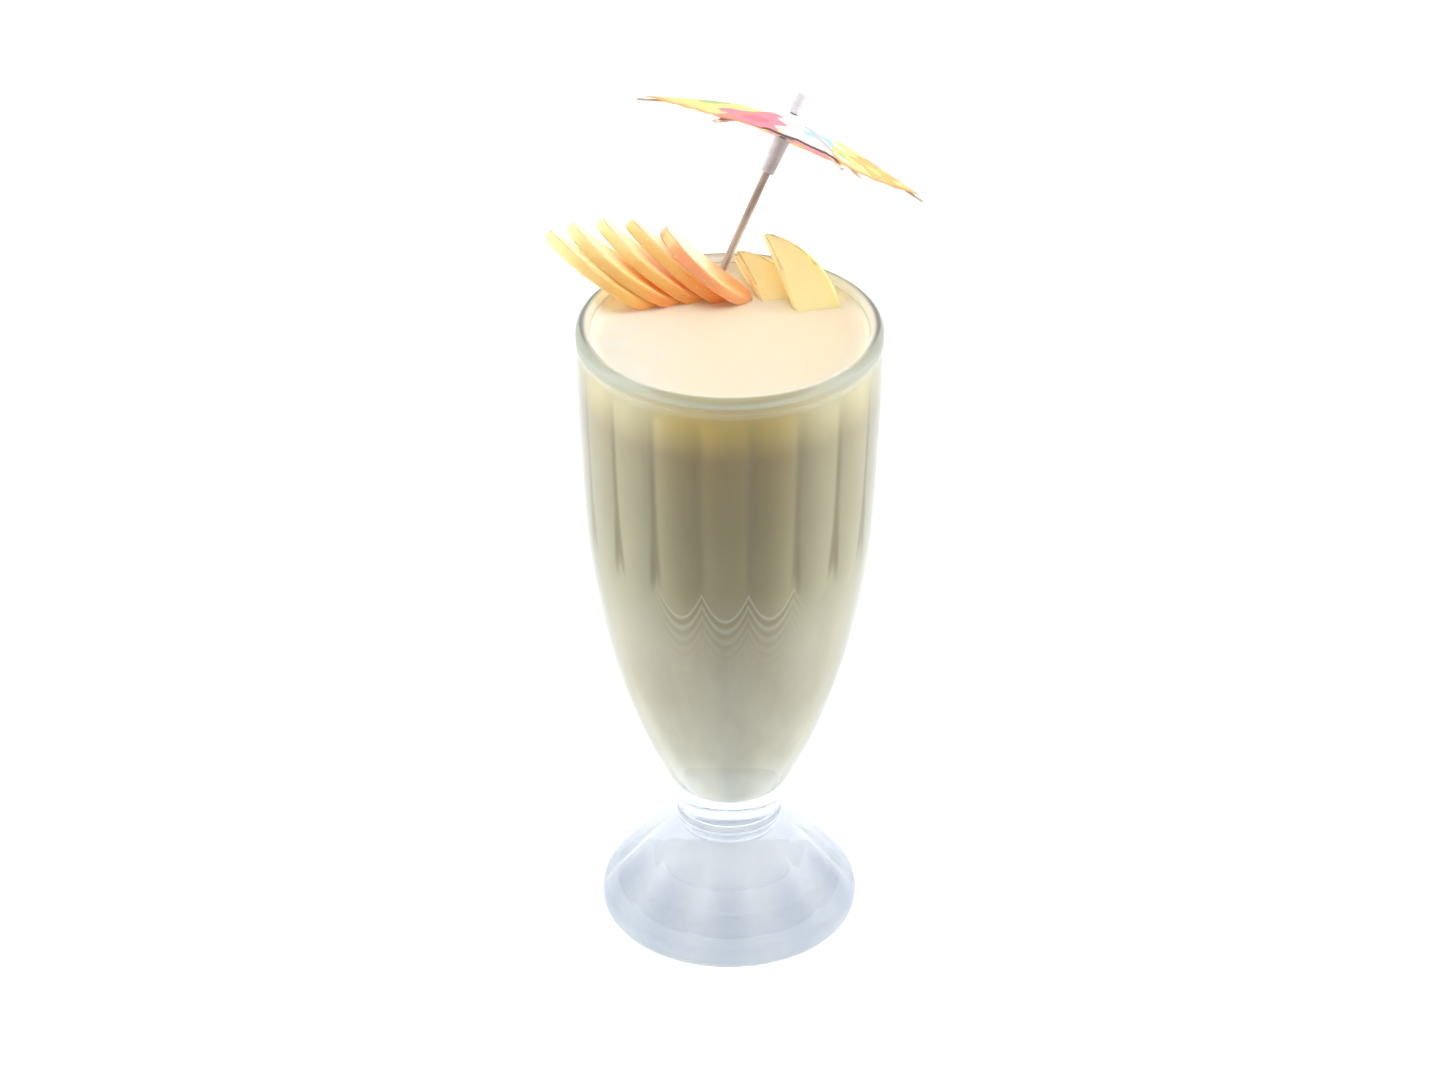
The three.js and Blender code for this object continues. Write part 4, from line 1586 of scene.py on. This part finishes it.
    def build(self) -> None:
        """Models the parasol and dresses the ribs and struts that it keeps."""
        place = self.frame()
        up = place.to_3x3() @ Vector((0, 0, 1))
        self.canopy(place, CanopyFinish())
        pick = WoodFinish("pick_wood", srgb(206, 192, 182), srgb(166, 150, 142), up).material()
        cap = PlainPaperFinish("cap_paper", srgb(240, 238, 240), srgb(216, 214, 217)).material()
        sleeve = PlainPaperFinish("sleeve_paper", srgb(221, 222, 233), srgb(194, 194, 206)).material()
        pale = WoodFinish("hub_wood", srgb(206, 196, 190), srgb(172, 158, 152), up).material()
        hub, runner, collar = (self.ring_outline(*ring)
                               for ring in (self.hub, self.runner, self.sleeve))
        for name, outline, material, slot, node, bevelled in (
                ("parasol_stick", self.stick_outline(), pick, "wood", "parasol_pick", 0.0),
                ("parasol_finial", self.cap_outline(), cap, "plain_paper", "parasol_cap", 0.25),
                ("parasol_collar", collar, sleeve, "plain_paper", "parasol_sleeve", 0.2),
                ("parasol_top_notch", hub, pale, "wood", "parasol_hub", 0.3),
                ("parasol_slider", runner, pale, "wood", "parasol_runner", 0.3)):
            self.turned_piece(name, outline, place, material, node, bevelled)
        self.dress_ribs(place)


@dataclass(frozen=True)
class Lamp:
    """A soft lamp: place and size in metres, power in watts, and the angle that it fills in degrees."""

    name: str
    place: tuple[float, float, float]
    size: Point2
    power: float
    spread: float = 180.0


@dataclass
class Studio:
    """Floor, soft lights and camera. Distances in metres."""

    aim: Vector = field(default_factory=lambda: Vector((-2.5, 0, 115.2)) * MM)
    distance: float = 1.3
    elevation: float = math.radians(31.8)
    lens: float = 124.0
    sensor: float = 36.0
    floor_size: float = 12.0
    lit: Vector = field(default_factory=lambda: Vector((0, 0, 0.12)))
    lamps: tuple[Lamp, ...] = (
        Lamp("overhead", (0, -0.2, 1.5), (0.9, 0.9), 3.1, 90),
        Lamp("left", (-1.4, 0.1, 0.35), (0.9, 0.7), 17),
        Lamp("right", (1.4, 0.1, 0.35), (0.9, 0.7), 17),
        Lamp("behind", (0, 1.6, 0.8), (1.8, 1.1), 10),
    )
    ambient_front: float = 0.14
    ambient_back: float = 0.42
    seen: float = 1.06
    surround: Colour = (0.95, 0.975, 1.0, 1.0)

    def softbox(self, lamp: Lamp) -> None:
        """Adds a lamp that faces the drink and stays out of the camera's sight.

        Args:
            lamp: what it is like.
        """
        light = bpy.data.lights.new(lamp.name, "AREA")
        light.shape = "RECTANGLE"
        light.size, light.size_y = lamp.size
        light.energy = lamp.power
        light.spread = math.radians(lamp.spread)
        box = bpy.data.objects.new(lamp.name, light)
        box.location = lamp.place
        box.rotation_euler = (self.lit - Vector(lamp.place)).to_track_quat("-Z", "Y").to_euler()
        box.visible_camera = False
        box.visible_glossy = False
        bpy.context.scene.collection.objects.link(box)

    def build(self) -> None:
        """Sets the floor, the light and the camera."""
        scene = bpy.context.scene
        scene.view_settings.view_transform = "Standard"
        scene.view_settings.look = "None"
        self.backdrop()
        self.ambience(scene)
        for lamp in self.lamps:
            self.softbox(lamp)
        self.camera(scene)

    def camera(self, scene: bpy.types.Scene) -> None:
        """Puts the camera where the photograph was taken from.

        Args:
            scene: the scene that it looks at.
        """
        data = bpy.data.cameras.new("camera")
        data.lens = self.lens
        data.sensor_width = self.sensor
        camera = bpy.data.objects.new("camera", data)
        back = Vector((0, -math.cos(self.elevation), math.sin(self.elevation)))
        camera.location = self.aim + back * self.distance
        camera.rotation_euler = (-back).to_track_quat("-Z", "Y").to_euler()
        scene.collection.objects.link(camera)
        scene.camera = camera

    def backdrop(self) -> None:
        """Lays the pale floor."""
        shape = bmesh.new()
        bmesh.ops.create_grid(shape, x_segments=4, y_segments=4, size=self.floor_size / 2)
        mesh = bpy.data.meshes.new("floor")
        shape.to_mesh(mesh)
        shape.free()
        mesh.materials.append(FloorFinish().material())
        floor = bpy.data.objects.new("floor", mesh)
        bpy.context.scene.collection.objects.link(floor)

    def ambience(self, scene: bpy.types.Scene) -> None:
        """White surroundings for the eye and in the glass, with a dimmer even light from them.

        Args:
            scene: the scene that they surround.
        """
        world = bpy.data.worlds.new("surroundings")
        world.use_nodes = True
        nodes, links = world.node_tree.nodes, world.node_tree.links
        background = nodes["Background"]
        background.inputs["Color"].default_value = self.surround
        rays = nodes.new("ShaderNodeLightPath")
        level = nodes.new("ShaderNodeMapRange")
        level.inputs["To Min"].default_value = self.seen
        towards = nodes.new("ShaderNodeSeparateXYZ")
        around = nodes.new("ShaderNodeMapRange")
        around.inputs["From Min"].default_value = -1.0
        around.inputs["To Min"].default_value = self.ambient_front
        around.inputs["To Max"].default_value = self.ambient_back
        links.new(nodes.new("ShaderNodeTexCoord").outputs["Generated"], towards.inputs["Vector"])
        links.new(towards.outputs["Y"], around.inputs["Value"])
        links.new(around.outputs["Result"], level.inputs["To Max"])
        links.new(rays.outputs["Is Diffuse Ray"], level.inputs["Value"])
        links.new(level.outputs["Result"], background.inputs["Strength"])
        scene.world = world


def main() -> None:
    """Builds the drink on its frame and sets it in the studio."""
    logging.basicConfig(level=logging.INFO, format="%(name)s: %(message)s")
    noise.seed_set(NOISE_SEED)
    glass = FountainGlass()
    glass.build(GlassFinish())
    JuiceFill().build(glass, JuiceFinish())
    Garnish().build()
    Parasol().build()
    Studio().build()


if __name__ == "__main__":
    main()
